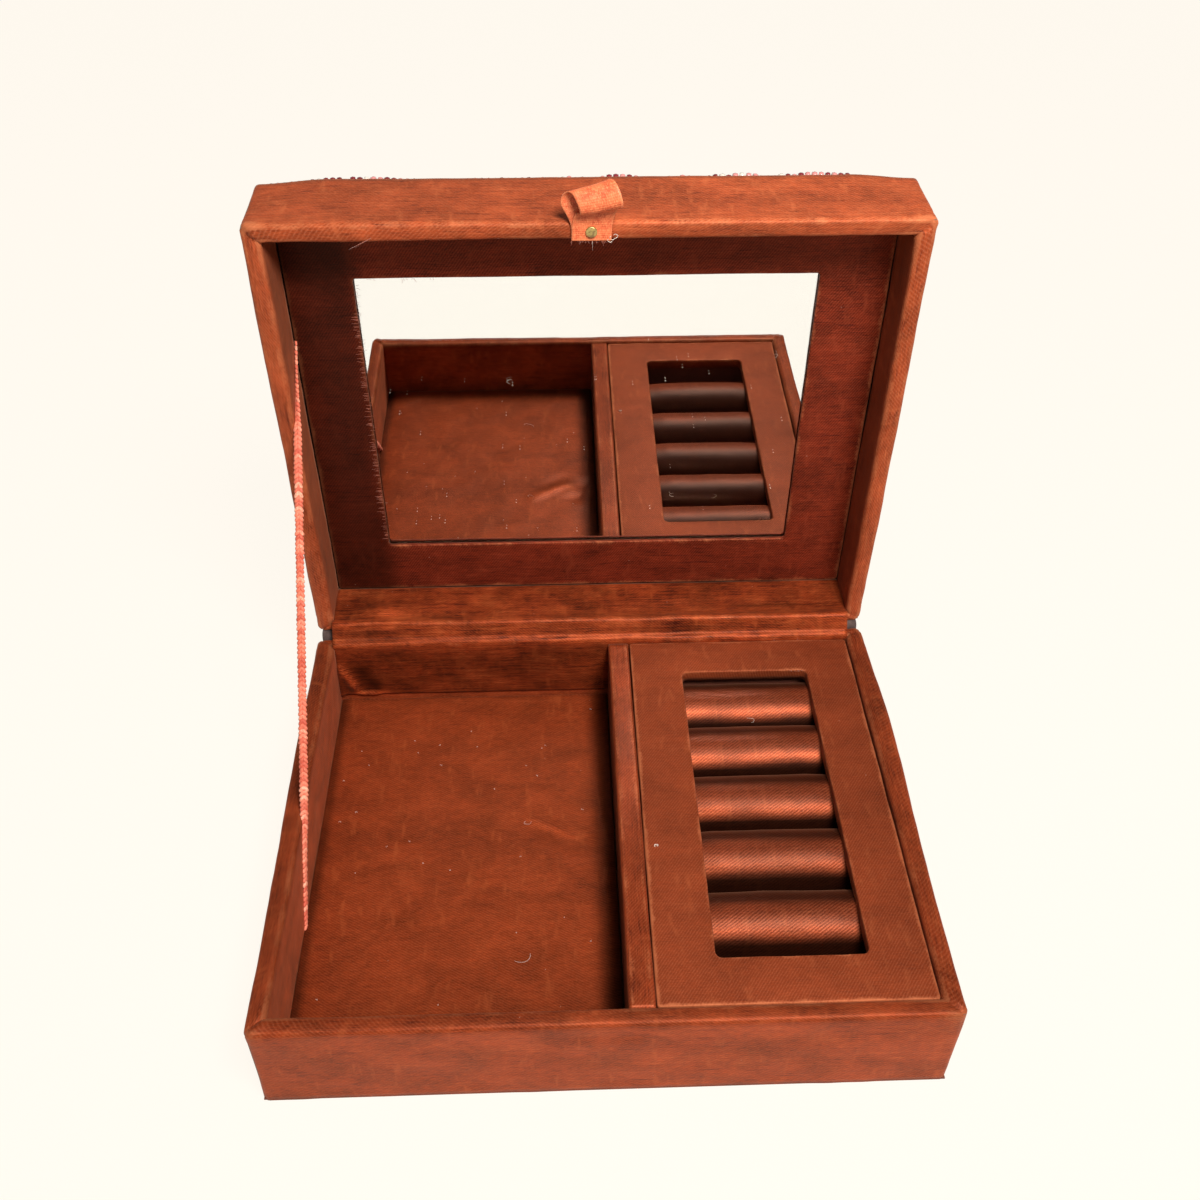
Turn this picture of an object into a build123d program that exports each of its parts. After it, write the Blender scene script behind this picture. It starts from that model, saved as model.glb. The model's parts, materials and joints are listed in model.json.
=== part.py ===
from build123d import *
from math import asin, cos, degrees, pi, radians, sin
import os

# A cloth-covered card jewelry box with its lid open: a plain tray and a ring tray in the base,
# a framed mirror in the lid, and beadwork on the lid's outer face.
# Millimetres. X is to the right, Y to the back and Z up. The origin is the middle of the underside.
# The lid is drawn as it lies closed and is then turned open about the hinge line.

# Driving sizes of the box
box_width = 166.0
box_depth = 132.0
base_height = 29.3
lid_height = 23.0
open_angle = 88.5
hinge_gap = 1.7
hinge_offset = 1.0
wall_board = 3.6
back_board = 2.3
cloth = 0.4
edge_round = 0.9
glue_film = 0.1
fit_gap = 0.3

# Floor of the base, from the underside up
underside_paper = 0.4
bottom_board = 3.0
floor_pad = 2.4
floor_card = 1.0

# Divider between the two trays
divider_board = 5.1
divider_middle = 8.0
rim_drop = 0.7

# Ring tray
panel_seam = 0.6
panel_card = 1.6
ring_frame_left = 15.05
ring_frame_right = 14.2
ring_frame_front = 12.8
ring_frame_back = 13.1
ring_window_round = 1.8
roll_count = 5
roll_back_gap = 1.75
roll_front_gap = 5.75
roll_wall = 0.4
side_spacer = 6.0
end_spacer = 10.5

# Lid, from the beaded face in
top_wadding = 1.0
top_board = 2.4
backing_card = 1.8
mirror_thickness = 1.1
mat_card = 0.6
mirror_frame_left = 17.5
mirror_frame_right = 18.5
mirror_frame_front = 17.55
mirror_frame_back = 17.25
mirror_window_round = 1.0
mirror_margin = 4.0

# Cloth hinges
inner_hinge_drop = 20.5
outer_hinge_leaf = 11.0
hinge_cloth = 0.3

# Stay tape that holds the open lid
tape_width = 2.8
tape_thickness = 0.6
tape_base_reach = 89.0
tape_lid_reach = 92.3

# Pull tab
tab_width = 9.9
tab_ribbon = 0.45
tab_reach = 8.0
tab_bulb = 1.9
nail_head_diameter = 2.8
nail_head_height = 0.5
nail_shank_diameter = 0.9
nail_length = 7.0
nail_inset = 1.9

# Beadwork on the lid
bead_height = 1.6
bead_width = 2.0
bead_edge_margin = 0.4
bead_row_gap = 2.6
small_petals = 6
small_petal_ring = 4.4
small_petal_radius = 1.9
large_petals = 8
large_petal_ring = 8.6
large_petal_length = 7.0
large_petal_width = 3.6
large_heart_radius = 3.0
flower_spacing = 46.0
corner_flower_inset = 17.0
wave_arcs = 5
wave_pitch = 20.0
wave_rise = 5.0
wave_inset = 24.0
leaf_length = 6.4
leaf_width = 2.6
leaf_gap = 0.8
spray_reach = 23.0
spray_spread = 7.0
spray_tilt = 32.0

# Places worked out from the sizes
half_width = box_width / 2
half_depth = box_depth / 2
side_wall = wall_board + 2 * cloth
back_wall = back_board + 2 * cloth
inner_half_width = half_width - side_wall
inner_front = -half_depth + side_wall
inner_back = half_depth - back_wall
cloth_back = inner_back - glue_film - hinge_cloth
board_floor = underside_paper + bottom_board
card_top = board_floor + floor_pad + floor_card
floor_top = card_top + cloth
panel_top = base_height - rim_drop
panel_underside = panel_top - cloth - panel_card
divider_left = divider_middle - divider_board / 2 - cloth
divider_right = divider_middle + divider_board / 2 + cloth
panel_left = divider_right + panel_seam
panel_right = inner_half_width - panel_seam
panel_front = inner_front + fit_gap
panel_back = cloth_back - fit_gap
roll_row_back = panel_back - end_spacer - roll_back_gap
roll_row_front = panel_front + end_spacer + roll_front_gap
roll_pitch = (roll_row_back - roll_row_front) / roll_count
roll_radius = (roll_pitch - fit_gap) / 2

lid_rim = base_height + hinge_gap
lid_top = lid_rim + lid_height
lid_board_top = lid_top - cloth - top_wadding
lid_board_underside = lid_board_top - top_board
mirror_back = lid_board_underside - backing_card
mirror_front = mirror_back - mirror_thickness
mat_face = mirror_front - mat_card - cloth
mat_half_width = inner_half_width - fit_gap
mat_front = inner_front + fit_gap
mat_back = inner_back - fit_gap

hinge_y = half_depth + hinge_offset
hinge_z = base_height + hinge_gap / 2
hinge_line = Axis((0, hinge_y, hinge_z), (1, 0, 0))
nail_y = -half_depth + nail_inset

tape_left = -inner_half_width + fit_gap
tape_base_y = hinge_y - tape_base_reach
tape_lid_y = hinge_y - tape_lid_reach
tape_middle = tape_left + tape_width / 2


def save(shape, name):
    """Write one piece to its own file."""
    export_step(shape, f"parts/{name}.step")


def block(x0, x1, y0, y1, z0, z1):
    """A box between two corners."""
    size = (x1 - x0, y1 - y0, z1 - z0)
    middle = ((x0 + x1) / 2, (y0 + y1) / 2, (z0 + z1) / 2)
    return Pos(*middle) * Box(*size)


def opened(shape):
    """Turn a piece of the closed lid to where the open lid holds it."""
    return shape.rotate(hinge_line, -open_angle)


def opened_point(y, z):
    """Where a point of the closed lid's side view goes when the lid is open."""
    turn = radians(open_angle)
    back, up = y - hinge_y, z - hinge_z
    return hinge_y + back * cos(turn) + up * sin(turn), hinge_z - back * sin(turn) + up * cos(turn)


def side_profile(points, x0, x1):
    """A solid with one outline in the side view, running from x0 to x1."""
    outline = Polyline([(x0, y, z) for y, z in points], close=True)
    return extrude(make_face(outline), x1 - x0, dir=(1, 0, 0))


def window_hole(edges, z0, z1, corner, wider=0.0):
    """The round-cornered hole of a window, from z0 to z1. edges are left, right, front and back."""
    left, right, front, back = edges
    outline = RectangleRounded(right - left + 2 * wider, back - front + 2 * wider, corner + wider)
    return extrude(Pos((left + right) / 2, (front + back) / 2, z0) * outline, z1 - z0)


def wall_boards(bottom, top):
    """The four upright boards of a tray: front, back, left and right."""
    outer_x = half_width - cloth
    outer_y = half_depth - cloth
    front_y = -outer_y + wall_board
    back_y = outer_y - back_board
    return {
        "front": block(-outer_x, outer_x, -outer_y, front_y, bottom, top),
        "back": block(-outer_x, outer_x, back_y, outer_y, bottom, top),
        "left": block(-outer_x, -outer_x + wall_board, front_y, back_y, bottom, top),
        "right": block(outer_x - wall_board, outer_x, front_y, back_y, bottom, top),
    }


def satin_sleeve(rim, far, inner_far):
    """The cloth over a tray's walls: outside, over the rim and down the inside."""
    low, high = min(rim, far), max(rim, far)
    outside = block(-half_width, half_width, -half_depth, half_depth, low, high)
    outside = fillet(outside.edges().filter_by(Axis.Z), edge_round)
    rim_edges = outside.faces().filter_by(Plane.XY).sort_by_distance((0, 0, rim))[0].edges()
    outside = fillet(rim_edges, edge_round)
    inside = block(-inner_half_width, inner_half_width, inner_front, inner_back, low, high)
    sleeve = outside - inside
    step = cloth if far > rim else -cloth
    ends = sorted((rim + step, far))
    core = block(-half_width + cloth, half_width - cloth, -half_depth + cloth, half_depth - cloth, *ends)
    core -= block(
        -inner_half_width - cloth, inner_half_width + cloth,
        inner_front - cloth, inner_back + cloth, *ends
    )
    sleeve -= core
    if inner_far != far:
        spare = sorted((inner_far, far))
        sleeve -= block(
            -inner_half_width - cloth, inner_half_width + cloth,
            inner_front - cloth, inner_back + cloth, *spare
        )
    return sleeve


def covered_card(x0, x1, y0, y1, z_cloth, z_card, holes):
    """A card and the cloth over its face and edges. holes are (outer hole, hole in the card)."""
    side = cloth if z_card > z_cloth else -cloth
    card_face = z_cloth + side
    whole = block(x0, x1, y0, y1, *sorted((z_cloth, z_card)))
    card = block(x0 + cloth, x1 - cloth, y0 + cloth, y1 - cloth, *sorted((card_face, z_card)))
    for cut, card_cut in holes:
        whole -= cut
        card -= card_cut
    return card, whole - card


def tape_slot():
    """The slot at the floor's left edge that the stay tape goes down through."""
    low = tape_base_y - (floor_top - board_floor) - 2 * tape_thickness
    high = tape_base_y + 4 * tape_thickness
    return block(-half_width, tape_left + tape_width + fit_gap, low, high, board_floor, floor_top + 1)


def lid_tape_slot():
    """The slot at the mirror frame's left edge that the stay tape goes in through."""
    low = tape_lid_y - (mirror_back - mat_face) - 2 * tape_thickness
    high = tape_lid_y + 3 * tape_thickness
    return block(-half_width, tape_left + tape_width + fit_gap, low, high, mat_face - 1, mirror_back)


def base_shell():
    """Underside paper, bottom board, wall boards and the satin over them."""
    save(block(-half_width, half_width, -half_depth, half_depth, 0, underside_paper), "base_underside_paper")
    board_x = half_width - cloth
    board_y = half_depth - cloth
    save(block(-board_x, board_x, -board_y, board_y, underside_paper, board_floor), "base_bottom_board")
    for side, board in wall_boards(board_floor, base_height - cloth).items():
        save(board, f"base_{side}_wall_board")
    save(satin_sleeve(base_height, underside_paper, board_floor), "base_satin_wrap")


def tray_floor():
    """The padded floor of the plain tray, notched for the stay tape."""
    left = -inner_half_width + fit_gap
    right = divider_left - fit_gap
    front = inner_front + fit_gap
    back = cloth_back - fit_gap
    slot = tape_slot()
    save(block(left, right, front, back, board_floor, board_floor + floor_pad) - slot, "floor_wadding")
    card, satin = covered_card(left, right, front, back, floor_top, board_floor + floor_pad, [(slot, slot)])
    save(card, "floor_card")
    save(satin, "floor_satin")


def divider():
    """The upright divider and its satin."""
    board = block(
        divider_left + cloth, divider_right - cloth, inner_front + fit_gap, cloth_back - fit_gap,
        board_floor, panel_top - cloth
    )
    whole = block(
        divider_left, divider_right, inner_front + fit_gap, cloth_back - fit_gap, board_floor, panel_top
    )
    whole = fillet(whole.edges().filter_by(Axis.Y).group_by(Axis.Z)[-1], cloth)
    save(board, "divider_board")
    save(whole - board, "divider_satin")


def ring_panel():
    """The windowed panel over the ring rolls."""
    edges = (
        panel_left + ring_frame_left, panel_right - ring_frame_right,
        panel_front + ring_frame_front, panel_back - ring_frame_back
    )
    depth = (panel_underside - 1, panel_top + 1)
    hole = window_hole(edges, *depth, ring_window_round)
    card_hole = window_hole(edges, *depth, ring_window_round, cloth)
    card, satin = covered_card(
        panel_left, panel_right, panel_front, panel_back, panel_top, panel_underside, [(hole, card_hole)]
    )
    save(card, "ring_panel_card")
    save(satin, "ring_panel_satin")


def ring_spacers():
    """The card blocks under the ring panel's four edges, and the card bed under the rolls."""
    left, right = panel_left + fit_gap, panel_right
    front, back = panel_front, panel_back
    low, high = board_floor, panel_underside
    mid_left, mid_right = left + side_spacer, right - side_spacer
    save(block(left, mid_left, front, back, low, high), "ring_spacer_left")
    save(block(mid_right, right, front, back, low, high), "ring_spacer_right")
    save(block(mid_left, mid_right, front, front + end_spacer, low, high), "ring_spacer_front")
    save(block(mid_left, mid_right, back - end_spacer, back, low, high), "ring_spacer_back")
    bed_top = panel_underside - fit_gap - 2 * roll_radius - fit_gap
    bed = block(mid_left, mid_right, front + end_spacer, back - end_spacer, low, bed_top)
    save(bed, "ring_bed_card")


def ring_rolls():
    """Satin rolls side by side from the back of the tray, each over a wadding core."""
    left = panel_left + 2 * fit_gap + side_spacer
    length = panel_right - side_spacer - fit_gap - left
    height = panel_underside - fit_gap - roll_radius
    cores = []
    for number in range(roll_count):
        y = roll_row_back - roll_radius - number * roll_pitch
        place = Pos(left + length / 2, y, height) * Rot(0, 90, 0)
        cover = Cylinder(roll_radius, length) - Cylinder(roll_radius - roll_wall, length)
        save(place * cover, f"ring_roll_{number + 1}")
        cores.append(place * Cylinder(roll_radius - roll_wall - glue_film / 2, length))
    save(Compound(children=cores), "ring_roll_wadding")


def lid_shell():
    """Top board, wadding, wall boards and the satin over them."""
    board_x = half_width - cloth
    board_y = half_depth - cloth
    top = block(-board_x, board_x, -board_y, board_y, lid_board_underside, lid_board_top)
    save(opened(top), "lid_top_board")
    wadding = block(-board_x, board_x, -board_y, board_y, lid_board_top, lid_top - cloth)
    save(opened(wadding), "lid_top_wadding")
    face = block(-half_width, half_width, -half_depth, half_depth, lid_top - cloth, lid_top)
    face = fillet(face.edges().filter_by(Axis.Z), edge_round)
    face = chamfer(face.faces().sort_by(Axis.Z)[-1].edges(), cloth / 2)
    save(opened(face), "lid_top_satin")
    for side, board in wall_boards(lid_rim + cloth, lid_board_underside).items():
        if side == "front":
            board -= nail_bore(lid_rim + cloth)
        save(opened(board), f"lid_{side}_wall_board")
    sleeve = satin_sleeve(lid_rim, lid_top - cloth, lid_board_underside)
    save(opened(sleeve - nail_bore(lid_rim)), "lid_satin_wrap")


def mirror_parts():
    """The mirror, the cards behind and around it, and the satin-covered mat in front."""
    edges = (-mat_half_width, mat_half_width, mat_front, mat_back)
    save(opened(block(*edges, mirror_back, lid_board_underside)), "mirror_backing_card")
    window = (
        -mat_half_width + mirror_frame_left, mat_half_width - mirror_frame_right,
        mat_front + mirror_frame_front, mat_back - mirror_frame_back
    )
    glass_edges = [
        edge + way * mirror_margin for edge, way in zip(window, (-1, 1, -1, 1))
    ]
    save(opened(block(*glass_edges, mirror_front, mirror_back)), "mirror_glass")
    bay = [edge + way * fit_gap / 2 for edge, way in zip(glass_edges, (-1, 1, -1, 1))]
    slot = lid_tape_slot()
    surround = block(*edges, mirror_front, mirror_back) - block(*bay, mirror_front, mirror_back)
    save(opened(surround - slot), "mirror_surround_card")
    depth = (mat_face - 1, mirror_front + 1)
    hole = window_hole(window, *depth, mirror_window_round)
    card_hole = window_hole(window, *depth, mirror_window_round, cloth)
    card, satin = covered_card(*edges, mat_face, mirror_front, [(hole, card_hole), (slot, slot)])
    save(opened(card), "mirror_mat_card")
    save(opened(satin), "mirror_mat_satin")


def inner_hinge_cloth():
    """The cloth from the lid's back wall over both rims and down the base's back wall."""
    near, far = cloth_back, cloth_back + hinge_cloth
    bottom = base_height - inner_hinge_drop
    reach = mat_face - glue_film
    outline = [(near, bottom), (far, bottom), (far, base_height)]
    outline += [opened_point(far, lid_rim), opened_point(far, reach)]
    outline += [opened_point(near, reach), opened_point(near, lid_rim), (near, base_height)]
    edge = inner_half_width - glue_film
    save(side_profile(outline, -edge, edge), "hinge_cloth_inner")


def outer_hinge_cloth():
    """The cloth strip across the outside of the hinge, glued to both back walls."""
    near = half_depth + glue_film
    far = near + hinge_cloth
    bottom = base_height - outer_hinge_leaf
    reach = lid_rim + outer_hinge_leaf
    outline = [(near, bottom), (far, bottom), (far, base_height)]
    outline += [opened_point(far, lid_rim), opened_point(far, reach)]
    outline += [opened_point(near, reach), opened_point(near, lid_rim), (near, base_height)]
    edge = half_width - edge_round
    save(side_profile(outline, -edge, edge), "hinge_cloth_outer")


def stay_tape():
    """The flat braid from the floor's left edge to the mirror frame's left edge, pulled straight."""
    base_end = Vector(tape_base_y, floor_top)
    lid_end = Vector(*opened_point(tape_lid_y, mat_face))
    along = (lid_end - base_end).normalized()
    across = Vector(-along.Y, along.X) * (tape_thickness / 2)
    base_tail = (floor_top - board_floor - 2 * fit_gap) / along.Y
    lid_tail = mirror_back - mat_face - 2 * fit_gap
    start = base_end - along * base_tail
    finish = lid_end + along * lid_tail
    outline = [start - across, start + across, finish + across, finish - across]
    bar = side_profile([(p.X, p.Y) for p in outline], tape_left, tape_left + tape_width)
    save(bar, "stay_tape")


def nail_bore(z0):
    """The hole that the tab's nail makes, from z0 into the front wall."""
    radius = nail_shank_diameter / 2 + glue_film / 2
    return Pos(0, nail_y, z0 + nail_length / 2 - 1) * Cylinder(radius, nail_length + 2)


def pull_tab():
    """The folded ribbon under the front rim and the nail through it."""
    outer_z = lid_rim - glue_film
    inner_end = -half_depth + side_wall
    bulb_y = -half_depth - tab_reach + tab_bulb
    loop = tab_side_view(inner_end, bulb_y, outer_z, 2 * tab_ribbon, tab_bulb)
    hollow = tab_side_view(
        -half_depth, bulb_y, outer_z - tab_ribbon * 0.8, tab_ribbon * 0.4, tab_bulb - tab_ribbon
    )
    ribbon = extrude(loop, tab_width, dir=(1, 0, 0)) - extrude(hollow, tab_width, dir=(1, 0, 0))
    ribbon = Pos(-tab_width / 2, 0, 0) * ribbon
    save(opened(ribbon - nail_bore(lid_rim - 2)), "pull_tab_ribbon")
    head_top = outer_z - 2 * tab_ribbon
    head = Pos(0, nail_y, head_top - nail_head_height / 2)
    head *= Cylinder(nail_head_diameter / 2, nail_head_height)
    head = fillet(head.edges().group_by(Axis.Z)[0], nail_head_height * 0.6)
    shank = Pos(0, nail_y, head_top + nail_length / 2) * Cylinder(nail_shank_diameter / 2, nail_length)
    save(opened(head + shank), "pull_tab_nail")


def tab_side_view(flat_end, bulb_y, top_z, thickness, bulb):
    """A teardrop face across X: a flat two-layer tail that widens to a round loop."""
    plane = Plane((0, bulb_y, top_z - thickness / 2), x_dir=(0, 1, 0), z_dir=(1, 0, 0))
    tail = flat_end - bulb_y
    taper = tail - (flat_end + half_depth) if flat_end > -half_depth else tail
    round_end = Circle(bulb)
    wedge = Polygon((0, -bulb), (taper, -thickness / 2), (taper, thickness / 2), (0, bulb), align=None)
    face = round_end + wedge
    if taper < tail:
        face += Pos((taper + tail) / 2, 0) * Rectangle(tail - taper, thickness)
    return plane * face


def raised(sketch):
    """A row or cluster of beads over the lid's face, as one rounded ridge."""
    ridge = extrude(Pos(0, 0, lid_top) * sketch, bead_height)
    tops = ridge.faces().filter_by(Plane.XY).group_by(Axis.Z)[-1].edges()
    return fillet(tops, bead_width * 0.3)


def border_row(inset):
    """One row of beads round the lid's face at a distance in from its edge."""
    outer = Rectangle(box_width - 2 * inset, box_depth - 2 * inset)
    inner = Rectangle(box_width - 2 * inset - 2 * bead_width, box_depth - 2 * inset - 2 * bead_width)
    return outer - inner


def small_flower_places():
    """Middles of the small flowers: one each side of the large flower and one in each corner."""
    x = half_width - corner_flower_inset
    y = half_depth - corner_flower_inset
    sides = [(side * flower_spacing, 0) for side in (-1, 1)]
    return sides + [(sx * x, sy * y) for sx in (-1, 1) for sy in (-1, 1)]


def petal_ridges():
    """Round petals of the small flowers and long petals of the large one."""
    ridges = []
    for x, y in small_flower_places():
        for petal in range(small_petals):
            turn = 2 * pi * petal / small_petals
            spot = Pos(x + small_petal_ring * cos(turn), y + small_petal_ring * sin(turn))
            ridges.append(raised(spot * Circle(small_petal_radius)))
    for petal in range(large_petals):
        petal_shape = Pos(large_petal_ring, 0) * SlotOverall(large_petal_length, large_petal_width)
        ridges.append(raised(Rot(0, 0, 360 * petal / large_petals) * petal_shape))
    return ridges


def wave_places():
    """Middle, side and direction of each arc of the two wavy stems."""
    for end in (-1, 1):
        y = end * (half_depth - wave_inset)
        for number in range(wave_arcs):
            x = (number - (wave_arcs - 1) / 2) * wave_pitch
            yield x, y, 1 if number % 2 else -1


def stem(x, y, way):
    """One arc of a wavy stem, bulging up or down."""
    half_chord = wave_pitch / 2
    radius = (half_chord**2 + wave_rise**2) / (2 * wave_rise)
    half_sweep = degrees(asin((half_chord - bead_width) / radius))
    line = CenterArc((0, 0), radius, way * 90 - half_sweep, 2 * half_sweep)
    shape = make_face(offset(line, bead_width / 2, side=Side.BOTH).edges())
    return Pos(x, y - way * (radius - wave_rise)) * shape


def leaf_shapes():
    """A leaf off each stem's crown, and a spray of three each side of the large flower."""
    shape = SlotOverall(leaf_length, leaf_width)
    out = wave_rise + bead_width / 2 + leaf_gap + leaf_width / 2
    shapes = [Pos(x, y + way * out) * shape for x, y, way in wave_places()]
    for side in (-1, 1):
        for step in (-1, 0, 1):
            place = Pos(side * (spray_reach + abs(step)), step * spray_spread)
            shapes.append(place * Rot(0, 0, side * step * spray_tilt) * shape)
    return shapes


def beadwork():
    """Border rows, flowers, their hearts, wavy stems and leaves on the lid's outer face."""
    save(opened(raised(border_row(bead_edge_margin))), "bead_border_outer")
    inner = bead_edge_margin + bead_width + bead_row_gap
    save(opened(raised(border_row(inner))), "bead_border_inner")
    hearts = [raised(Pos(x, y) * Circle(bead_width * 0.75)) for x, y in small_flower_places()]
    hearts.append(raised(Circle(large_heart_radius)))
    groups = {
        "bead_flower_petals": petal_ridges(),
        "bead_flower_hearts": hearts,
        "bead_stems": [raised(stem(*place)) for place in wave_places()],
        "bead_leaves": [raised(shape) for shape in leaf_shapes()],
    }
    for name, ridges in groups.items():
        save(opened(Compound(children=ridges)), name)


os.makedirs("parts", exist_ok=True)
base_shell()
tray_floor()
divider()
ring_panel()
ring_spacers()
ring_rolls()
lid_shell()
mirror_parts()
inner_hinge_cloth()
outer_hinge_cloth()
stay_tape()
pull_tab()
beadwork()
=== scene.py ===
"""A satin-covered jewelry box: cloth, ring rolls, mirror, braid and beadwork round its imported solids."""

import json
from math import asin, cos, hypot, pi, radians, sin, sqrt

import bmesh
import bpy
import numpy as np
from mathutils import Matrix, Vector, noise


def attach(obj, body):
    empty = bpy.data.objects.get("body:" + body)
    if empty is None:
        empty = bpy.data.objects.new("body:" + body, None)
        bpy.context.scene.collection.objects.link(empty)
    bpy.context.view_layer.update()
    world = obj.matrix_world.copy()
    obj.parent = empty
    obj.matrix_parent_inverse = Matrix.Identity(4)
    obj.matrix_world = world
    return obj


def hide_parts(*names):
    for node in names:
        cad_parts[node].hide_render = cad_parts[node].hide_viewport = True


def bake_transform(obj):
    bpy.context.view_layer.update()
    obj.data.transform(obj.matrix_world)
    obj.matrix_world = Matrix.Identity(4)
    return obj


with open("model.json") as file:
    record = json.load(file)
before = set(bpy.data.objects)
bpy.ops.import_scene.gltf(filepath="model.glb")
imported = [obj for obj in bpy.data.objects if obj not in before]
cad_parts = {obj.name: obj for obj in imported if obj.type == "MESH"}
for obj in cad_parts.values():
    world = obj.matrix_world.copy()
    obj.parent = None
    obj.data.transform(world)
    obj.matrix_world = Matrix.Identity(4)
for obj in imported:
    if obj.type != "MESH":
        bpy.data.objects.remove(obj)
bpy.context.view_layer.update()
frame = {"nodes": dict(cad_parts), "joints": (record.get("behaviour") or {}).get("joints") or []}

bl_info = {
    "name": "Satin jewelry box",
    "version": (1, 0, 0),
    "blender": (4, 5, 0),
    "location": "3D View > Sidebar > Jewelry Box",
    "description": "Builds the cloth, mirror, braid and beadwork of a satin-covered jewelry box",
    "category": "Object",
}

MM = 0.001
NODES = frame["nodes"]
JOINT = frame["joints"][0]
HINGE = Vector(JOINT["pos_m"])
OPEN_ANGLE = radians(JOINT["range_deg"][1])
OPENING = (
    Matrix.Translation(HINGE)
    @ Matrix.Rotation(-OPEN_ANGLE, 4, "X")
    @ Matrix.Translation(-HINGE)
)
SHUTTING = OPENING.inverted()

SATIN_THICKNESS = 0.35 * MM
SIDE_WALL = 4.4 * MM
BACK_WALL = 3.1 * MM
RIM_ROUND = 1.15 * MM

# Left, right, front and back edge of the openings in the ring panel and in the mirror's mat
RING_WINDOW = (26.6 * MM, 63.8 * MM, -48.5 * MM, 49.1 * MM)
MIRROR_WINDOW = (-60.8 * MM, 59.8 * MM, -43.75 * MM, 45.35 * MM)

# For rolls 1 to 5: how far behind and above its solid each lies, in mm, and how strong its painted
# highlight is
ROLL_SHIFTS = ((1.5, 0.3), (2.9, 0.4), (3.2, 0.5), (3.1, 0.5), (2.3, 0.4))
ROLL_PAINTED_HIGHLIGHTS = (0.8, 0.62, 0.55, 0.36, 0.4)

# Folds of the tray's floor in mm: start, end, half width, height and how much steeper one side is
FLOOR_FOLDS = (
    ((-20, 12), (-4, 2), 1.7, 0.75, 0.4),
    ((-12, 9), (5, 5), 2.6, 0.35),
    ((-4, 13), (3, -1), 2.4, -0.7),
    ((-16, 4), (-4, -3), 2.4, -0.3),
    ((1, 40), (3.5, -50), 1.6, 0.3),
    ((-76, -48), (-58, -60), 2.0, 0.3),
    ((-60, 61), (-20, 59), 1.4, 0.3),
    ((-70, -59), (0, -60), 1.6, 0.2),
)

# The inner hinge strip in mm, by x and by the run of cloth up from its lower edge. Bumps and stains are
# height, then middle and reach along each; folds are as on the floor.
HINGE_BUMPS = ((0.9, -65, 6, 34, 3.5), (-0.6, -72, 6, 37, 3), (-0.6, -71, 7, 23.5, 1.6),
               (-0.5, -64, 7, 26, 1.5))
HINGE_STAINS = ((0.6, -72, 7, 37, 4), (0.5, -68, 12, 24.5, 2.2), (0.5, -60, 24, 17, 3.5))
# Painted shadows on the strip: middle and reach along x, then middle along the run.
HINGE_SHADOWS = ((-66, 11, 24.6), (-63, 9, 22.4), (20, 26, 24.4), (52, 18, 33))
HINGE_FOLDS = (
    ((-77.5, 22), (-73, 9.5), 1.1, 1.5, 0.3),
    ((-72, 20), (-68, 10), 2.6, -0.5),
    ((-74, 9.6), (-66, 9.2), 0.8, 0.8),
)
# Painted light and shade along the folds, listed as the folds are.
HINGE_FOLD_PAINTED_LIGHT = (
    ((-77.5, 22), (-72, 9.5), 0.8, 0.9, 0.3),
    ((-73, 21), (-66, 10), 2.6, -0.5),
    ((-76, 9.6), (-62, 9.2), 0.8, 0.7),
)

# Middle line of the tab's ribbon in mm: y, z, how far it shifts aside and how much it leans
TAB_LINE = (
    (-61.9, 30.62, 0, 0), (-63.6, 30.62, 0, 0), (-66.2, 30.68, -0.3, 0.05),
    (-68.6, 31.0, -1.2, 0.3), (-71.0, 31.5, -2.2, 0.7), (-73.2, 31.7, -2.0, 1.0),
    (-74.9, 30.8, -0.9, 1.15), (-75.3, 29.2, 0.3, 1.15), (-74.2, 27.6, 1.3, 1.1),
    (-72.4, 26.8, 2.0, 1.0), (-70.8, 27.2, 2.2, 0.9), (-70.0, 28.6, 1.8, 0.7),
    (-69.2, 29.8, 1.2, 0.4), (-67.4, 30.2, 0.5, 0.15), (-65.0, 30.26, 0.1, 0),
    (-61.8, 30.28, 0, 0),
)
TAB_HALF_WIDTH = 4.95
TAB_RIB_PITCH = 0.56

# The braid's seams, under the tray's floor and under the mirror's mat, in mm
BRAID_BASE = (-78.0, -22, 7.2)
BRAID_LID = (-78.0, 80.73, 122.84)

# Where the front row of beads has slipped, in mm: middle, reach and depth
BORDER_SLIPS = ((-58, 9.5, 0.6), (-5, 1.6, 0.4), (8, 4.6, 0.65), (24, 1.4, 0.35), (33, 1.8, 0.5),
                (39.5, 3.6, 0.7), (50, 1.4, 0.45), (58, 5.6, 0.75), (65, 1.2, 0.4))

# Sizes along and across the cloth of the satin's fine hairs, large clouds and smudges
HAIR_SIZE = (1.9 * MM, 0.36 * MM)
CLOUD_SIZE = (17 * MM, 11 * MM)
SMUDGE_SIZE = (2.6 * MM, 9 * MM)

# Colour of the painted glint on the satin's raised threads
SATIN_PAINTED_GLINT = (0.45, 0.17, 0.095)
RUBBED_SATIN = (0.52, 0.155, 0.062)
SATIN_DUST = (0.62, 0.42, 0.32)
YARN_SHEEN = (1.0, 0.6, 0.45, 1.0)

CAMERA_AT = (-8.5 * MM, -218.3 * MM, 291.3 * MM)
CAMERA_TURN, CAMERA_DOWN, CAMERA_ROLL = -2.25, 41.1, 0.36
LAMP_TOWARD = (0.22, -0.46, 0.86)


# Sizes and colours


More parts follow.
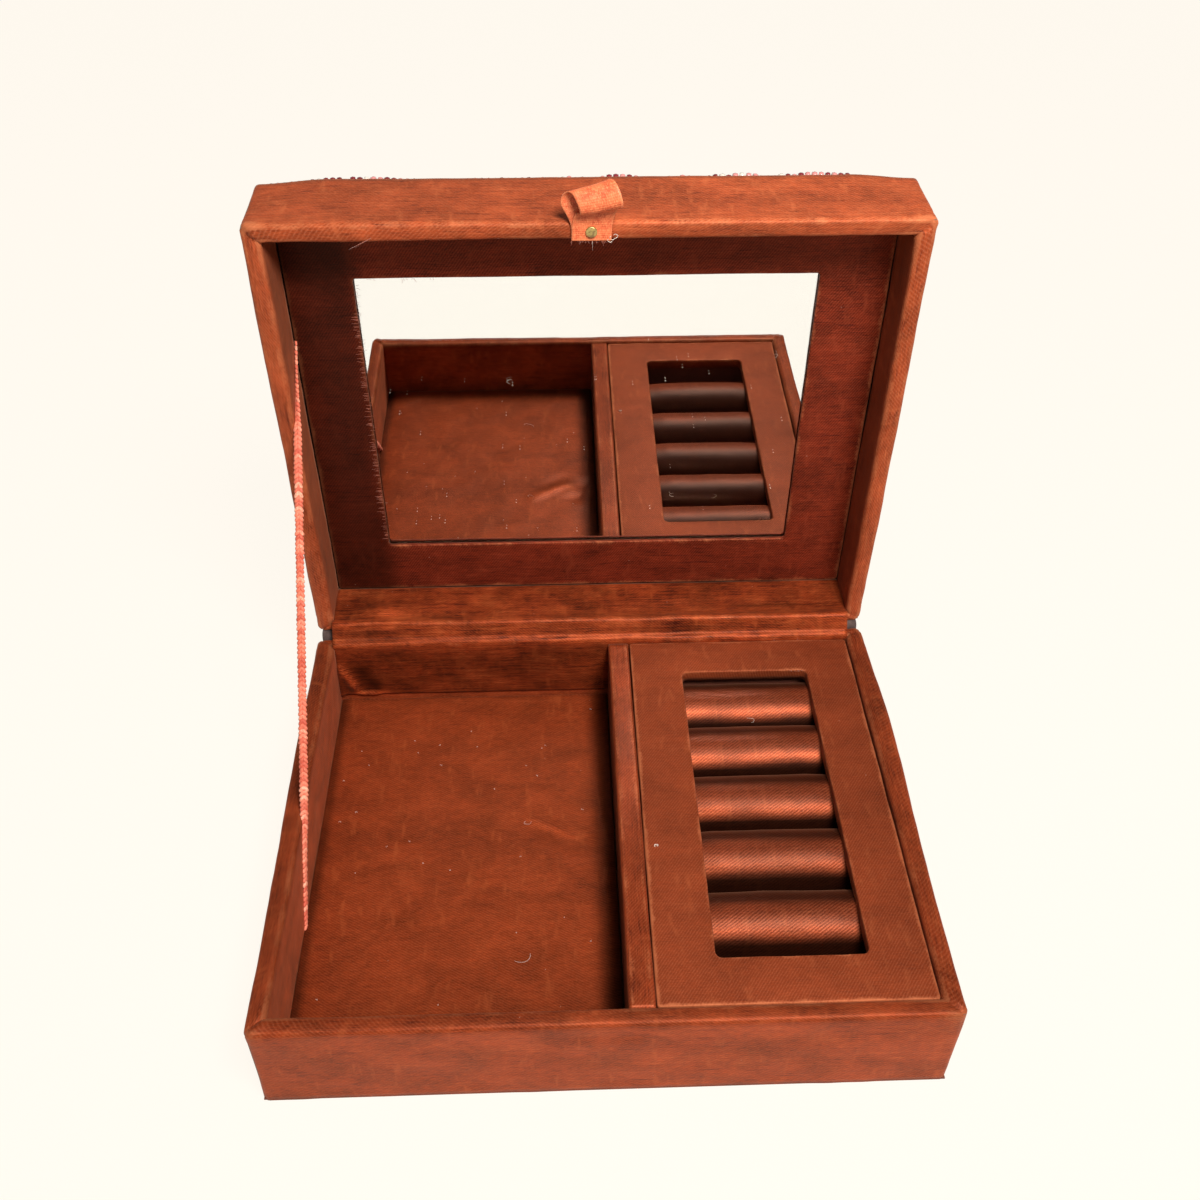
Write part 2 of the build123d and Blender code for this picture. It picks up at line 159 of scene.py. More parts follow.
class JewelryBoxFinish(bpy.types.PropertyGroup):
    """Colours and cloth sizes that a user may change."""

    satin_deep: bpy.props.FloatVectorProperty(
        name="Satin, dark threads", description="Colour of the plum streaks in the satin",
        subtype="COLOR", size=3, min=0, max=1, default=(0.085, 0.012, 0.0075),
    )
    satin_body: bpy.props.FloatVectorProperty(
        name="Satin", description="Main colour of the satin",
        subtype="COLOR", size=3, min=0, max=1, default=(0.325, 0.059, 0.0185),
    )
    satin_bright: bpy.props.FloatVectorProperty(
        name="Satin, bright threads", description="Colour of the satin's brightest streaks",
        subtype="COLOR", size=3, min=0, max=1, default=(0.48, 0.118, 0.043),
    )
    weave_pitch: bpy.props.FloatProperty(
        name="Weave pitch", description="Distance between the diagonal lines of the satin's weave",
        subtype="DISTANCE", unit="LENGTH", min=0.0001, max=0.005, precision=5, default=0.66 * MM,
    )
    streak_length: bpy.props.FloatProperty(
        name="Streak length", description="Length of a streak of one tone along the cloth",
        subtype="DISTANCE", unit="LENGTH", min=0.001, max=0.2, precision=4, default=14 * MM,
    )
    streak_width: bpy.props.FloatProperty(
        name="Streak width", description="Width of a streak of one tone",
        subtype="DISTANCE", unit="LENGTH", min=0.0001, max=0.02, precision=5, default=0.5 * MM,
    )
    blotch_size: bpy.props.FloatProperty(
        name="Blotch size", description="Size of the cloth's larger light and dark patches",
        subtype="DISTANCE", unit="LENGTH", min=0.001, max=0.1, precision=4, default=9 * MM,
    )
    braid: bpy.props.FloatVectorProperty(
        name="Stay braid", description="Colour of the braid that holds the lid open",
        subtype="COLOR", size=3, min=0, max=1, default=(0.8, 0.2, 0.112),
    )
    ribbon: bpy.props.FloatVectorProperty(
        name="Tab ribbon", description="Colour of the pull tab's ribbon",
        subtype="COLOR", size=3, min=0, max=1, default=(0.85, 0.2, 0.07),
    )
    brass: bpy.props.FloatVectorProperty(
        name="Brass", description="Colour of the nail's head",
        subtype="COLOR", size=3, min=0, max=1, default=(0.6, 0.46, 0.17),
    )
    bead_maroon: bpy.props.FloatVectorProperty(
        name="Maroon beads", description="Colour of the dark glass beads",
        subtype="COLOR", size=3, min=0, max=1, default=(0.24, 0.022, 0.03),
    )
    bead_white: bpy.props.FloatVectorProperty(
        name="White beads", description="Colour of the pearl white beads",
        subtype="COLOR", size=3, min=0, max=1, default=(0.78, 0.7, 0.6),
    )
    bead_pink: bpy.props.FloatVectorProperty(
        name="Pink beads", description="Colour of the pink glass beads",
        subtype="COLOR", size=3, min=0, max=1, default=(0.7, 0.27, 0.25),
    )
    bead_size: bpy.props.FloatProperty(
        name="Bead size", description="Outer diameter of a seed bead",
        subtype="DISTANCE", unit="LENGTH", min=0.0005, max=0.01, precision=5, default=1.9 * MM,
    )
    bead_pitch: bpy.props.FloatProperty(
        name="Bead pitch", description="Distance from one bead of a row to the next",
        subtype="DISTANCE", unit="LENGTH", min=0.0005, max=0.01, precision=5, default=1.7 * MM,
    )
    stitch_pitch: bpy.props.FloatProperty(
        name="Braid stitch pitch", description="Distance between the braid's stitches",
        subtype="DISTANCE", unit="LENGTH", min=0.0005, max=0.01, precision=5, default=1.25 * MM,
    )


class JewelryBoxStage(bpy.types.PropertyGroup):
    """Lamps, floor and camera."""

    key_power: bpy.props.FloatProperty(
        name="Key lamp", description="Power of the soft lamp above the front right",
        subtype="POWER", unit="POWER", min=0, max=1000, default=5.6,
    )
    key_size: bpy.props.FloatProperty(
        name="Key lamp size", description="Side of the soft lamp",
        subtype="DISTANCE", unit="LENGTH", min=0.01, max=10, default=0.19,
    )
    key_distance: bpy.props.FloatProperty(
        name="Key lamp distance", description="Distance from the box to the lamp",
        subtype="DISTANCE", unit="LENGTH", min=0.1, max=10, default=0.62,
    )
    fill: bpy.props.FloatProperty(
        name="Fill light", description="Strength of the light from all sides",
        min=0, max=10, default=0.2,
    )
    floor: bpy.props.FloatVectorProperty(
        name="Floor", description="Colour of the floor as the box and the lamps see it",
        subtype="COLOR", size=3, min=0, max=1, default=(0.6, 0.565, 0.52),
    )
    backdrop: bpy.props.FloatVectorProperty(
        name="Backdrop", description="Colour that the camera sees behind the box",
        subtype="COLOR", size=3, min=0, max=1, default=(1.0, 0.947, 0.863),
    )
    lens: bpy.props.FloatProperty(
        name="Lens", description="Focal length of the camera, in millimetres for a 36 mm sensor",
        min=10, max=200, default=37.71,
    )


def finish():
    """The colours and cloth sizes in use."""
    return bpy.context.scene.jewelry_box_finish


def shade(color):
    """A colour with its alpha."""
    return (*color, 1.0)


def toned(color, shares):
    """A colour with its alpha, each channel by its own share."""
    return shade([min(1.0, c * k) for c, k in zip(color, shares)])


# Node trees


class Wiring:
    """Adds nodes to one tree, and joins them or sets plain values on their sockets."""

    def __init__(self, tree):
        self.tree = tree

    def feed(self, socket, value):
        if isinstance(value, bpy.types.NodeSocket):
            self.tree.links.new(value, socket)
        elif value is not None:
            socket.default_value = value

    def node(self, kind, values=None, **settings):
        node = self.tree.nodes.new(kind)
        for key, value in settings.items():
            setattr(node, key, value)
        for key, value in (values or {}).items():
            self.feed(node.inputs[key], value)
        return node

    def math(self, operation, *values):
        node = self.node("ShaderNodeMath", operation=operation)
        for socket, value in zip(node.inputs, values):
            self.feed(socket, value)
        return node.outputs[0]

    def plus(self, first, second):
        return self.math("ADD", first, second)

    def times(self, first, second):
        return self.math("MULTIPLY", first, second)

    def over(self, first, second):
        return self.math("DIVIDE", first, second)

    def swing(self, noise, amount, middle=1.0):
        """A middle value, moved up and down by how far a noise is from its half."""
        return self.math("MULTIPLY_ADD", self.math("SUBTRACT", noise, 0.5), amount, middle)

    def mix(self, amount, first, second, blend="MIX"):
        node = self.node("ShaderNodeMix", {0: amount}, data_type="RGBA", blend_type=blend)
        self.feed(node.inputs[6], first)
        self.feed(node.inputs[7], second)
        return node.outputs[2]

    def dimmed(self, color, level):
        """A colour times a plain level."""
        return self.mix(1.0, color, self.join(level, level, level), "MULTIPLY")

    def spread(self, value, low, high, to_low=0.0, to_high=1.0):
        """Value from low..high to to_low..to_high, with soft ends."""
        node = self.node("ShaderNodeMapRange", interpolation_type="SMOOTHSTEP")
        for key, number in zip(("Value", "From Min", "From Max", "To Min", "To Max"),
                               (value, low, high, to_low, to_high)):
            self.feed(node.inputs[key], number)
        return node.outputs["Result"]

    def noise(self, vector, scale=1.0, detail=2.0, roughness=0.5, distortion=0.0):
        values = {"Vector": vector, "Scale": scale, "Detail": detail,
                  "Roughness": roughness, "Distortion": distortion}
        return self.node("ShaderNodeTexNoise", values).outputs[0]

    def parts(self, vector):
        return self.node("ShaderNodeSeparateXYZ", {0: vector}).outputs

    def join(self, x, y, z):
        return self.node("ShaderNodeCombineXYZ", {0: x, 1: y, 2: z}).outputs[0]

    def stretched(self, u, v, length, width, depth=0.0):
        """A place on the cloth, counted in lengths and widths of a pattern."""
        return self.join(self.over(u, length), self.over(v, width), depth)

    def cloth(self):
        return self.node("ShaderNodeUVMap", uv_map="cloth").outputs[0]

    def place(self):
        return self.node("ShaderNodeTexCoord").outputs["Object"]

    def attribute(self, name):
        return self.node("ShaderNodeAttribute", attribute_name=name).outputs["Fac"]

    def random(self, seed, low, high, kind="FLOAT"):
        """A random number, or with kind FLOAT_VECTOR a vector, for each point."""
        node = self.node("FunctionNodeRandomValue", {"Seed": seed}, data_type=kind)
        first = 2 if kind == "FLOAT" else 0
        self.feed(node.inputs[first], low)
        self.feed(node.inputs[first + 1], high)
        return node.outputs[1 if kind == "FLOAT" else 0]

    def group(self, tree, values):
        node = self.node("ShaderNodeGroup", node_tree=tree)
        for key, value in values.items():
            self.feed(node.inputs[key], value)
        return node.outputs


SOCKETS = {"f": "NodeSocketFloat", "v": "NodeSocketVector", "c": "NodeSocketColor",
           "g": "NodeSocketGeometry", "m": "NodeSocketMaterial", "i": "NodeSocketInt"}


def new_group(name, inputs, outputs, kind="ShaderNodeTree"):
    """An empty node group with named sockets, its wiring, its inputs and its output node."""
    tree = bpy.data.node_groups.new(name, kind)
    for label, letter in inputs:
        tree.interface.new_socket(name=label, in_out="INPUT", socket_type=SOCKETS[letter])
    for label, letter in outputs:
        tree.interface.new_socket(name=label, in_out="OUTPUT", socket_type=SOCKETS[letter])
    wiring = Wiring(tree)
    entry = wiring.node("NodeGroupInput").outputs
    leave = wiring.node("NodeGroupOutput").inputs
    return tree, wiring, entry, leave


def streaks_group():
    """Long streaks of dark, body and bright thread, with soft blotches and fine hairs over them."""
    tree, w, entry, leave = new_group(
        "thread_streaks",
        [("Cloth", "v"), ("Deep", "c"), ("Body", "c"), ("Bright", "c"), ("Length", "f"),
         ("Width", "f"), ("Blotch", "f"), ("Shift", "f"), ("Contrast", "f"), ("Grain", "f")],
        [("Color", "c"), ("Tone", "f")],
    )
    length, width, blotch, shift = (entry[label] for label in ("Length", "Width", "Blotch", "Shift"))
    u, v, _ = w.parts(entry["Cloth"])
    wander = w.times(w.noise(w.join(w.over(u, blotch), 0.0, shift), 0.35), 2.5 * MM)
    v = w.plus(v, wander)
    long = w.noise(w.stretched(u, v, length, width, shift), 1.0, 3.0, 0.6)
    short = w.stretched(u, v, w.times(length, 0.3), w.times(width, 0.42), shift)
    short = w.noise(short, 1.0, 2.0, 0.6)
    patch = w.noise(w.stretched(u, v, blotch, blotch, shift), 1.0, 3.0, 0.62, 0.4)
    tone = w.plus(w.times(long, 0.42), w.times(short, 0.26))
    tone = w.plus(tone, w.times(patch, 0.32))
    tone = w.swing(tone, entry["Contrast"], 0.5)
    dark = w.mix(w.spread(tone, 0.36, 0.5), entry["Deep"], entry["Body"])
    color = w.mix(w.spread(tone, 0.5, 0.66), dark, entry["Bright"])
    hair = w.noise(w.stretched(u, v, *HAIR_SIZE, shift), 1.0, 3.0, 0.7)
    cloud = w.noise(w.stretched(u, v, *CLOUD_SIZE, shift), 1.0, 4.0, 0.62, 0.5)
    level = w.swing(cloud, entry["Grain"], w.swing(hair, entry["Grain"]))
    w.feed(leave["Color"], w.dimmed(color, level))
    w.feed(leave["Tone"], w.swing(hair, 1.4, tone))
    return tree


def twill_group():
    """Diagonal ribs of a twill weave: a height, and how far down between two ribs a point is."""
    tree, w, entry, leave = new_group(
        "twill_weave", [("Cloth", "v"), ("Pitch", "f"), ("Lean", "f")],
        [("Height", "f"), ("Gap", "f")],
    )
    u, v, _ = w.parts(entry["Cloth"])
    lean, pitch = entry["Lean"], entry["Pitch"]
    length = w.math("SQRT", w.plus(w.times(lean, lean), 1.0))
    across = w.over(w.over(w.plus(u, w.times(v, lean)), length), pitch)
    along = w.over(w.over(w.math("SUBTRACT", w.times(u, lean), v), length), pitch)
    thread = w.noise(w.join(w.times(along, 1.3), w.times(across, 2.3), 0.0), 1.0, 2.0, 0.65)
    sway = w.noise(w.join(w.times(along, 0.4), w.times(across, 0.4), 3.0))
    turn = w.math("MULTIPLY_ADD", across, 2 * pi, w.times(sway, 3.0))
    rib = w.math("MULTIPLY_ADD", w.math("SINE", turn), 0.5, 0.5)
    height = w.plus(w.times(rib, 0.34), w.times(thread, 0.66))
    w.feed(leave["Height"], height)
    w.feed(leave["Gap"], w.spread(height, 0.48, 0.24))
    return tree


def specks_group():
    """Scattered dust specks."""
    tree, w, entry, leave = new_group(
        "dust_specks", [("Cloth", "v"), ("Spacing", "f"), ("Size", "f"), ("Amount", "f")],
        [("Mask", "f")],
    )
    grid = w.node("ShaderNodeTexVoronoi", {"Vector": entry["Cloth"],
                                           "Scale": w.over(1.0, entry["Spacing"])})
    wanted = w.math("LESS_THAN", w.parts(grid.outputs["Color"])[0], entry["Amount"])
    radius = w.over(entry["Size"], entry["Spacing"])
    near = w.spread(grid.outputs["Distance"], radius, w.times(radius, 0.4))
    w.feed(leave["Mask"], w.times(wanted, near))
    return tree


def wear_group():
    """Where rubbed edges show through, from an edge value and the cloth's place."""
    tree, w, entry, leave = new_group(
        "rubbed_edge", [("Cloth", "v"), ("Edge", "f"), ("Amount", "f")], [("Mask", "f")],
    )
    broad = w.noise(entry["Cloth"], 130.0, 3.0, 0.6)
    fine = w.noise(entry["Cloth"], 1400.0, 2.0, 0.7)
    level = w.plus(w.times(broad, 0.7), w.times(fine, 0.45))
    level = w.plus(level, w.times(entry["Edge"], entry["Amount"]))
    w.feed(leave["Mask"], w.spread(level, 0.82, 1.12))
    return tree


def grain_group():
    """Fibres and flecks of card and paper: a tone and a height."""
    tree, w, entry, leave = new_group(
        "board_grain", [("Place", "v"), ("Size", "f")], [("Tone", "f"), ("Height", "f")],
    )
    place = w.node("ShaderNodeVectorMath", {0: entry["Place"]}, operation="SCALE")
    w.feed(place.inputs["Scale"], w.over(1.0, entry["Size"]))
    fibre = w.noise(place.outputs[0], 1.0, 5.0, 0.7, 1.6)
    fleck = w.noise(place.outputs[0], 0.12, 3.0, 0.6)
    w.feed(leave["Tone"], w.plus(w.times(fibre, 0.55), w.times(fleck, 0.45)))
    w.feed(leave["Height"], fibre)
    return tree


GROUPS = {}
MATERIALS = {}


def shared(maker):
    """A shader group, built once."""
    if maker.__name__ not in GROUPS:
        GROUPS[maker.__name__] = maker()
    return GROUPS[maker.__name__]


def new_material(name):
    """The wiring and the Principled shader of a new material, kept under its name."""
    material = bpy.data.materials.new(name)
    material.use_nodes = True
    material.node_tree.nodes.clear()
    wiring = Wiring(material.node_tree)
    shader = wiring.node("ShaderNodeBsdfPrincipled")
    output = wiring.node("ShaderNodeOutputMaterial")
    wiring.feed(output.inputs["Surface"], shader.outputs[0])
    MATERIALS[name] = material
    return wiring, shader


def settle_shader(shader, wiring, **values):
    """Sets values or links on the Principled shader, by socket name with underscores for spaces."""
    for key, value in values.items():
        wiring.feed(shader.inputs[key.replace("_", " ")], value)


def bump(wiring, height, distance, strength=1.0, normal=None):
    """A bump of that real depth."""
    values = {"Height": height, "Distance": distance, "Strength": strength, "Normal": normal}
    return wiring.node("ShaderNodeBump", values).outputs[0]


def satin_material(name, light, shift=0.0, contrast=0.8, lean=1.5, roughness=0.4, dust=0.5,
                   weave=0.5, grain=0.8, gloss=0.18):
    """Reddish brown satin: streaks of thread, a diagonal weave, smudges, stains, dust, rubbed edges, and
    painted light, shade and glints.

    light is the painted light and shade of that piece, a share for each colour channel that also shifts
    its hue, and shift picks its own part of the pattern.
    """
    look = finish()
    w, shader = new_material(name)
    cloth = w.cloth()
    edge, stain, painted_light = (w.attribute(label) for label in ("edge", "stain", "painted_light"))
    deep, body, bright, painted_glint = (
        toned(color, light)
        for color in (look.satin_deep, look.satin_body, look.satin_bright, SATIN_PAINTED_GLINT))
    streaks = w.group(shared(streaks_group), {
        "Cloth": cloth, "Deep": deep, "Body": body, "Bright": bright,
        "Length": look.streak_length, "Width": look.streak_width,
        "Blotch": look.blotch_size, "Shift": shift, "Contrast": contrast, "Grain": grain,
    })
    twill = w.group(shared(twill_group), {"Cloth": cloth, "Pitch": look.weave_pitch, "Lean": lean})
    # Painted shade of the weave, partly its own thread pattern: raised ribs lighter, the gaps between ribs
    # darker, and a painted glint on the rib tops.
    lit = w.math("MULTIPLY_ADD", twill["Height"], weave * 1.3, 1 - weave * 0.65)
    color = w.dimmed(streaks["Color"], lit)
    color = w.mix(w.times(twill["Gap"], weave * 0.6), color, deep)
    color = w.mix(w.times(w.spread(twill["Height"], 0.52, 0.74), 0.3), color, painted_glint)
    u, v, _ = w.parts(cloth)
    smudge = w.noise(w.stretched(u, v, *SMUDGE_SIZE, shift), 1.0, 3.0, 0.6)
    color = w.mix(w.spread(smudge, 0.54, 0.78, 0.0, 0.6), color, bright)
    patchy = w.noise(cloth, 190.0, 4.0, 0.65)
    spot = w.spread(w.plus(w.times(patchy, 0.8), w.times(stain, 0.62)), 0.6, 0.95)
    color = w.mix(w.times(spot, 0.85), color, shade([c * 0.7 for c in deep[:3]]))
    rubbed = w.group(shared(wear_group), {"Cloth": cloth, "Edge": edge, "Amount": 0.5})
    color = w.mix(w.times(rubbed["Mask"], 0.6), color, shade(RUBBED_SATIN))
    # Painted light and shade: each point's colour is scaled by one plus its painted light value, set piece
    # by piece.
    color = w.dimmed(color, w.plus(painted_light, 1.0))
    specks = w.group(shared(specks_group), {"Cloth": cloth, "Spacing": 3.4 * MM,
                                            "Size": 0.17 * MM, "Amount": 0.2})
    color = w.mix(w.times(specks["Mask"], dust), color, shade(SATIN_DUST))
    normal = bump(w, w.noise(cloth, 230.0, 3.0, 0.55), 0.14 * MM, 0.5)
    normal = bump(w, twill["Height"], 0.09 * MM * weave, 0.9, normal)
    shine = w.plus(roughness - 0.07, w.times(streaks["Tone"], 0.14))
    settle_shader(shader, w, Base_Color=color, Metallic=0.2, Roughness=shine, Normal=normal,
                  Specular_IOR_Level=gloss, Specular_Tint=(1.0, 0.62, 0.45, 1.0),
                  Sheen_Weight=0.12, Sheen_Roughness=0.4, Sheen_Tint=(1.0, 0.4, 0.22, 1.0))


def backing_material():
    """Grey brown reverse of the hinge cloth, open weave and rough."""
    w, shader = new_material("hinge_backing")
    cloth = w.cloth()
    u, v, _ = w.parts(cloth)
    warp = w.math("SINE", w.times(u, 2 * pi / (0.5 * MM)))
    weft = w.math("SINE", w.times(v, 2 * pi / (0.55 * MM)))
    weave = w.math("MULTIPLY_ADD", w.times(warp, weft), 0.5, 0.5)
    tone = w.noise(cloth, 300.0, 4.0, 0.7)
    color = w.mix(w.spread(tone, 0.3, 0.7), (0.05, 0.03, 0.026, 1.0), (0.14, 0.09, 0.075, 1.0))
    color = w.mix(w.times(weave, 0.3), color, (0.06, 0.03, 0.025, 1.0))
    settle_shader(shader, w, Base_Color=color, Roughness=0.86,
                  Normal=bump(w, weave, 0.08 * MM, 0.9), Sheen_Weight=0.15)


def grained_material(name, dark, bright, size, roughness=0.85, depth=0.06):
    """Card, paper, wadding and other fibrous stock, on Object coordinates."""
    w, shader = new_material(name)
    place = w.place()
    grain = w.group(shared(grain_group), {"Place": place, "Size": size})
    color = w.mix(w.spread(grain["Tone"], 0.32, 0.68), shade(dark), shade(bright))
    specks = w.group(shared(specks_group), {"Cloth": place, "Spacing": 3.2 * MM,
                                            "Size": 0.3 * MM, "Amount": 0.2})
    color = w.mix(w.times(specks["Mask"], 0.5), color, shade([c * 0.45 for c in dark]))
    rough = w.plus(roughness - 0.08, w.times(grain["Tone"], 0.16))
    settle_shader(shader, w, Base_Color=color, Roughness=rough,
                  Normal=bump(w, grain["Height"], depth * MM, 0.8))


def braid_material():
    """Coral braid yarn: fine strands along each stitch, paler where it is rubbed."""
    look = finish()
    w, shader = new_material("coral_braid")
    place = w.place()
    tone = w.attribute("tone")
    fuzz = w.noise(place, 2600.0, 3.0, 0.7)
    broad = w.noise(place, 240.0, 2.0, 0.6)
    level = w.plus(w.times(fuzz, 0.5), w.times(tone, 0.3))
    level = w.plus(level, w.times(broad, 0.3))
    deep = toned(look.braid, (0.72, 0.42, 0.38))
    pale = shade([min(1.0, c * k + 0.02) for c, k in zip(look.braid, (1.12, 2.3, 2.6))])
    color = w.mix(w.spread(level, 0.36, 0.6), deep, shade(look.braid))
    color = w.mix(w.spread(level, 0.6, 0.8), color, pale)
    settle_shader(shader, w, Base_Color=color, Roughness=0.62, Sheen_Weight=0.3,
                  Sheen_Roughness=0.5, Sheen_Tint=YARN_SHEEN,
                  Normal=bump(w, fuzz, 0.05 * MM, 0.8))


def ribbon_material():
    """Coral grosgrain ribbon: ribs across, dust and frays along its edges."""
    look = finish()
    w, shader = new_material("coral_ribbon")
    cloth = w.cloth()
    u, v, _ = w.parts(cloth)
    edge, rib = w.attribute("edge"), w.attribute("rib")
    strands = w.noise(w.stretched(u, v, 0.85 * MM, 0.2 * MM), 1.0, 2.0, 0.6)
    mottle = w.noise(cloth, 420.0, 4.0, 0.7)
    deep = toned(look.ribbon, (0.72, 0.42, 0.35))
    pale = toned(look.ribbon, (1.15, 1.8, 2.1))
    color = w.mix(w.spread(mottle, 0.3, 0.6), deep, shade(look.ribbon))
    # Painted shade in the grooves between the ribs.
    color = w.mix(w.times(w.spread(rib, 0.45, 0.05), 0.25), color, deep)
    color = w.mix(w.spread(strands, 0.48, 0.34, 0.0, 0.6), color, deep)
    color = w.mix(w.spread(strands, 0.52, 0.7, 0.0, 0.75), color, pale)
    color = w.mix(w.times(w.spread(edge, 0.4, 1.0), 0.3), color, pale)
    normal = bump(w, w.plus(strands, w.noise(cloth, 3000.0)), 0.05 * MM, 0.8)
    settle_shader(shader, w, Base_Color=color, Roughness=0.55, Normal=normal,
                  Sheen_Weight=0.25, Sheen_Roughness=0.4, Sheen_Tint=YARN_SHEEN)


def brass_material():
    """Dull brass with tarnish and fine scratches."""
    w, shader = new_material("nail_brass")
    place = w.place()
    stain = w.noise(place, 900.0, 4.0, 0.65)
    scratch = w.noise(place, 5200.0, 2.0, 0.6, 2.0)
    color = w.mix(w.spread(stain, 0.42, 0.66), shade(finish().brass), (0.3, 0.2, 0.09, 1.0))
    settle_shader(shader, w, Base_Color=color, Metallic=0.9,
                  Roughness=w.plus(0.3, w.times(stain, 0.3)),
                  Normal=bump(w, scratch, 0.02 * MM, 0.5))


def glass_material():
    """Clear front of the mirror."""
    w, shader = new_material("mirror_glass")
    settle_shader(shader, w, Base_Color=(0.985, 0.995, 0.99, 1.0), Metallic=0.0, Roughness=0.0,
                  IOR=1.5, Transmission_Weight=1.0)


def silver_material():
    """Silvering behind the mirror's glass, with a few dull spots."""
    w, shader = new_material("mirror_silver")
    spots = w.group(shared(specks_group), {"Cloth": w.place(), "Spacing": 7 * MM,
                                           "Size": 0.18 * MM, "Amount": 0.35})
    color = w.mix(spots["Mask"], (0.74, 0.735, 0.72, 1.0), (0.5, 0.46, 0.42, 1.0))
    settle_shader(shader, w, Base_Color=color, Metallic=1.0,
                  Roughness=w.spread(spots["Mask"], 0.0, 1.0, 0.0, 0.3))


def bead_material(name, color, pearl=False):
    """Glass or pearl beads, each a little different."""
    w, shader = new_material(name)
    tone = w.attribute("tone")
    cloud = w.noise(w.place(), 700.0)
    level = w.plus(w.times(tone, 0.75), w.times(cloud, 0.25))
    mixed = w.mix(level, toned(color, (0.62,) * 3), toned(color, (1.25,) * 3))
    if name == "beads_mixed":
        look = finish()
        mixed = w.mix(w.math("GREATER_THAN", tone, 0.62), mixed, shade(look.bead_white))
        mixed = w.mix(w.math("GREATER_THAN", tone, 0.76), mixed, shade(look.bead_pink))
    settle_shader(shader, w, Base_Color=mixed, Roughness=w.spread(cloud, 0.2, 0.8, 0.12, 0.3),
                  Coat_Weight=0.8 if pearl else 0.5, Coat_Roughness=0.12,
                  Specular_IOR_Level=0.6, Sheen_Weight=0.2 if pearl else 0.0)


def fibre_material(name, dark, bright):
    """Loose threads and lint."""
    w, shader = new_material(name)
    color = w.mix(w.noise(w.place(), 1500.0), shade(dark), shade(bright))
    settle_shader(shader, w, Base_Color=color, Roughness=0.7, Sheen_Weight=0.3)


def make_materials():
    """Every finish of the box."""
    look = finish()
    # The first numbers of each satin are its painted light and shade, a share for each colour channel: the
    # floor, mat and hinge are shaded copies of one satin.
    satin_material("satin_base", (0.98, 0.81, 0.67), 0.0, 0.75, roughness=0.5, weave=0.24, grain=1.8)
    satin_material("satin_lid", (0.95, 0.92, 0.89), 3.7, 0.7, roughness=0.5, weave=0.2, grain=1.5)
    satin_material("satin_floor", (0.71, 0.58, 0.44), 7.3, 0.4, 1.7, 0.46, weave=0.36, grain=1.4)
    satin_material("satin_divider", (0.7, 0.58, 0.5), 11.9, 0.75, -1.2, weave=0.35, grain=1.4)
    satin_material("satin_panel", (0.68, 0.63, 0.58), 15.1, 0.4, -0.7, roughness=0.56, weave=0.3,
                   grain=0.9)
    satin_material("satin_mat", (0.5, 0.33, 0.36), 19.4, 0.75, 0.7, 0.5, weave=0.7, grain=1.8)
    satin_material("satin_hinge", (0.75, 0.58, 0.42), 23.8, 1.2, 1.3, 0.46, weave=0.35, grain=2.0)
    satin_material("satin_lid_face", (1.0, 0.96, 0.94), 27.2, 0.7)
    satin_material("roll_satin", (0.95, 0.88, 0.86), 31.6, 0.6, 1.5, 0.42, 0.35, weave=0.8, grain=1.2,
                   gloss=0.22)
    backing_material()
    grained_material("card_board", (0.13, 0.08, 0.055), (0.22, 0.15, 0.11), 1.2 * MM)
    # Dark red brown, as the satin looks in shade: painted shade where the paper's edge shows and beside
    # the rolls.
    grained_material("paper", (0.13, 0.034, 0.018), (0.2, 0.052, 0.026), 0.9 * MM, 0.8, 0.09)
    grained_material("wadding", (0.62, 0.58, 0.52), (0.8, 0.77, 0.72), 2.4 * MM, 0.95, 0.25)
    braid_material()
    ribbon_material()
    brass_material()
    glass_material()
    silver_material()
    bead_material("beads_maroon", look.bead_maroon)
    bead_material("beads_mixed", look.bead_maroon)
    bead_material("beads_white", look.bead_white, pearl=True)
    bead_material("beads_pink", look.bead_pink)
    fibre_material("lint", (0.55, 0.42, 0.34), (0.85, 0.74, 0.62))
    fibre_material("satin_thread", (0.22, 0.04, 0.018), (0.5, 0.14, 0.07))


# Shapes


def node_box(name, shut=False):
    """Lowest and highest corner of a CAD node, for a lid node as the box is shut."""
    points = np.array([v.co for v in NODES[name].data.vertices])
    if shut:
        points = moved(points, SHUTTING)
    return points.min(0), points.max(0)


def moved(points, matrix):
    """Points turned and shifted by a matrix."""
    turn = np.array(matrix.to_3x3())
    return points @ turn.T + np.array(matrix.translation)


def rounded_loop(box, radius, along_x, along_y, at_corner=6):
    """Points round a rectangle (x0, x1, y0, y1) from its front left corner, anticlockwise from above."""
    x0, x1, y0, y1 = box
    middles = [(x0 + radius, y0 + radius), (x1 - radius, y0 + radius),
               (x1 - radius, y1 - radius), (x0 + radius, y1 - radius)]
    points = []
    for corner, (x, y) in enumerate(middles):
        start = pi + corner * pi / 2
        for step in range(at_corner + 1):
            angle = start + step / at_corner * pi / 2
            points.append((x + radius * cos(angle), y + radius * sin(angle)))
        next_x, next_y = middles[(corner + 1) % 4]
        angle = start + pi / 2
        end = np.array((next_x + radius * cos(angle), next_y + radius * sin(angle)))
        begin = np.array(points[-1])
        count = along_x if corner % 2 == 0 else along_y
        points.extend(tuple(begin + (end - begin) * step / count) for step in range(1, count))
    return np.array(points)


def from_corner(loop, along_x, along_y, at_corner=6):
    """Signed distance along the loop from each point to the middle of the nearest corner."""
    steps = np.linalg.norm(np.roll(loop, -1, 0) - loop, axis=1)
    run = np.concatenate([[0], np.cumsum(steps)[:-1]])
    total = steps.sum()
    middles, index = [], at_corner // 2
    for corner in range(4):
        middles.append(run[index])
        index += at_corner + (along_x if corner % 2 == 0 else along_y)
    away = run[:, None] - np.array(middles)[None, :]
    away = (away + total / 2) % total - total / 2
    nearest = np.abs(away).argmin(1)
    return away[np.arange(len(run)), nearest]


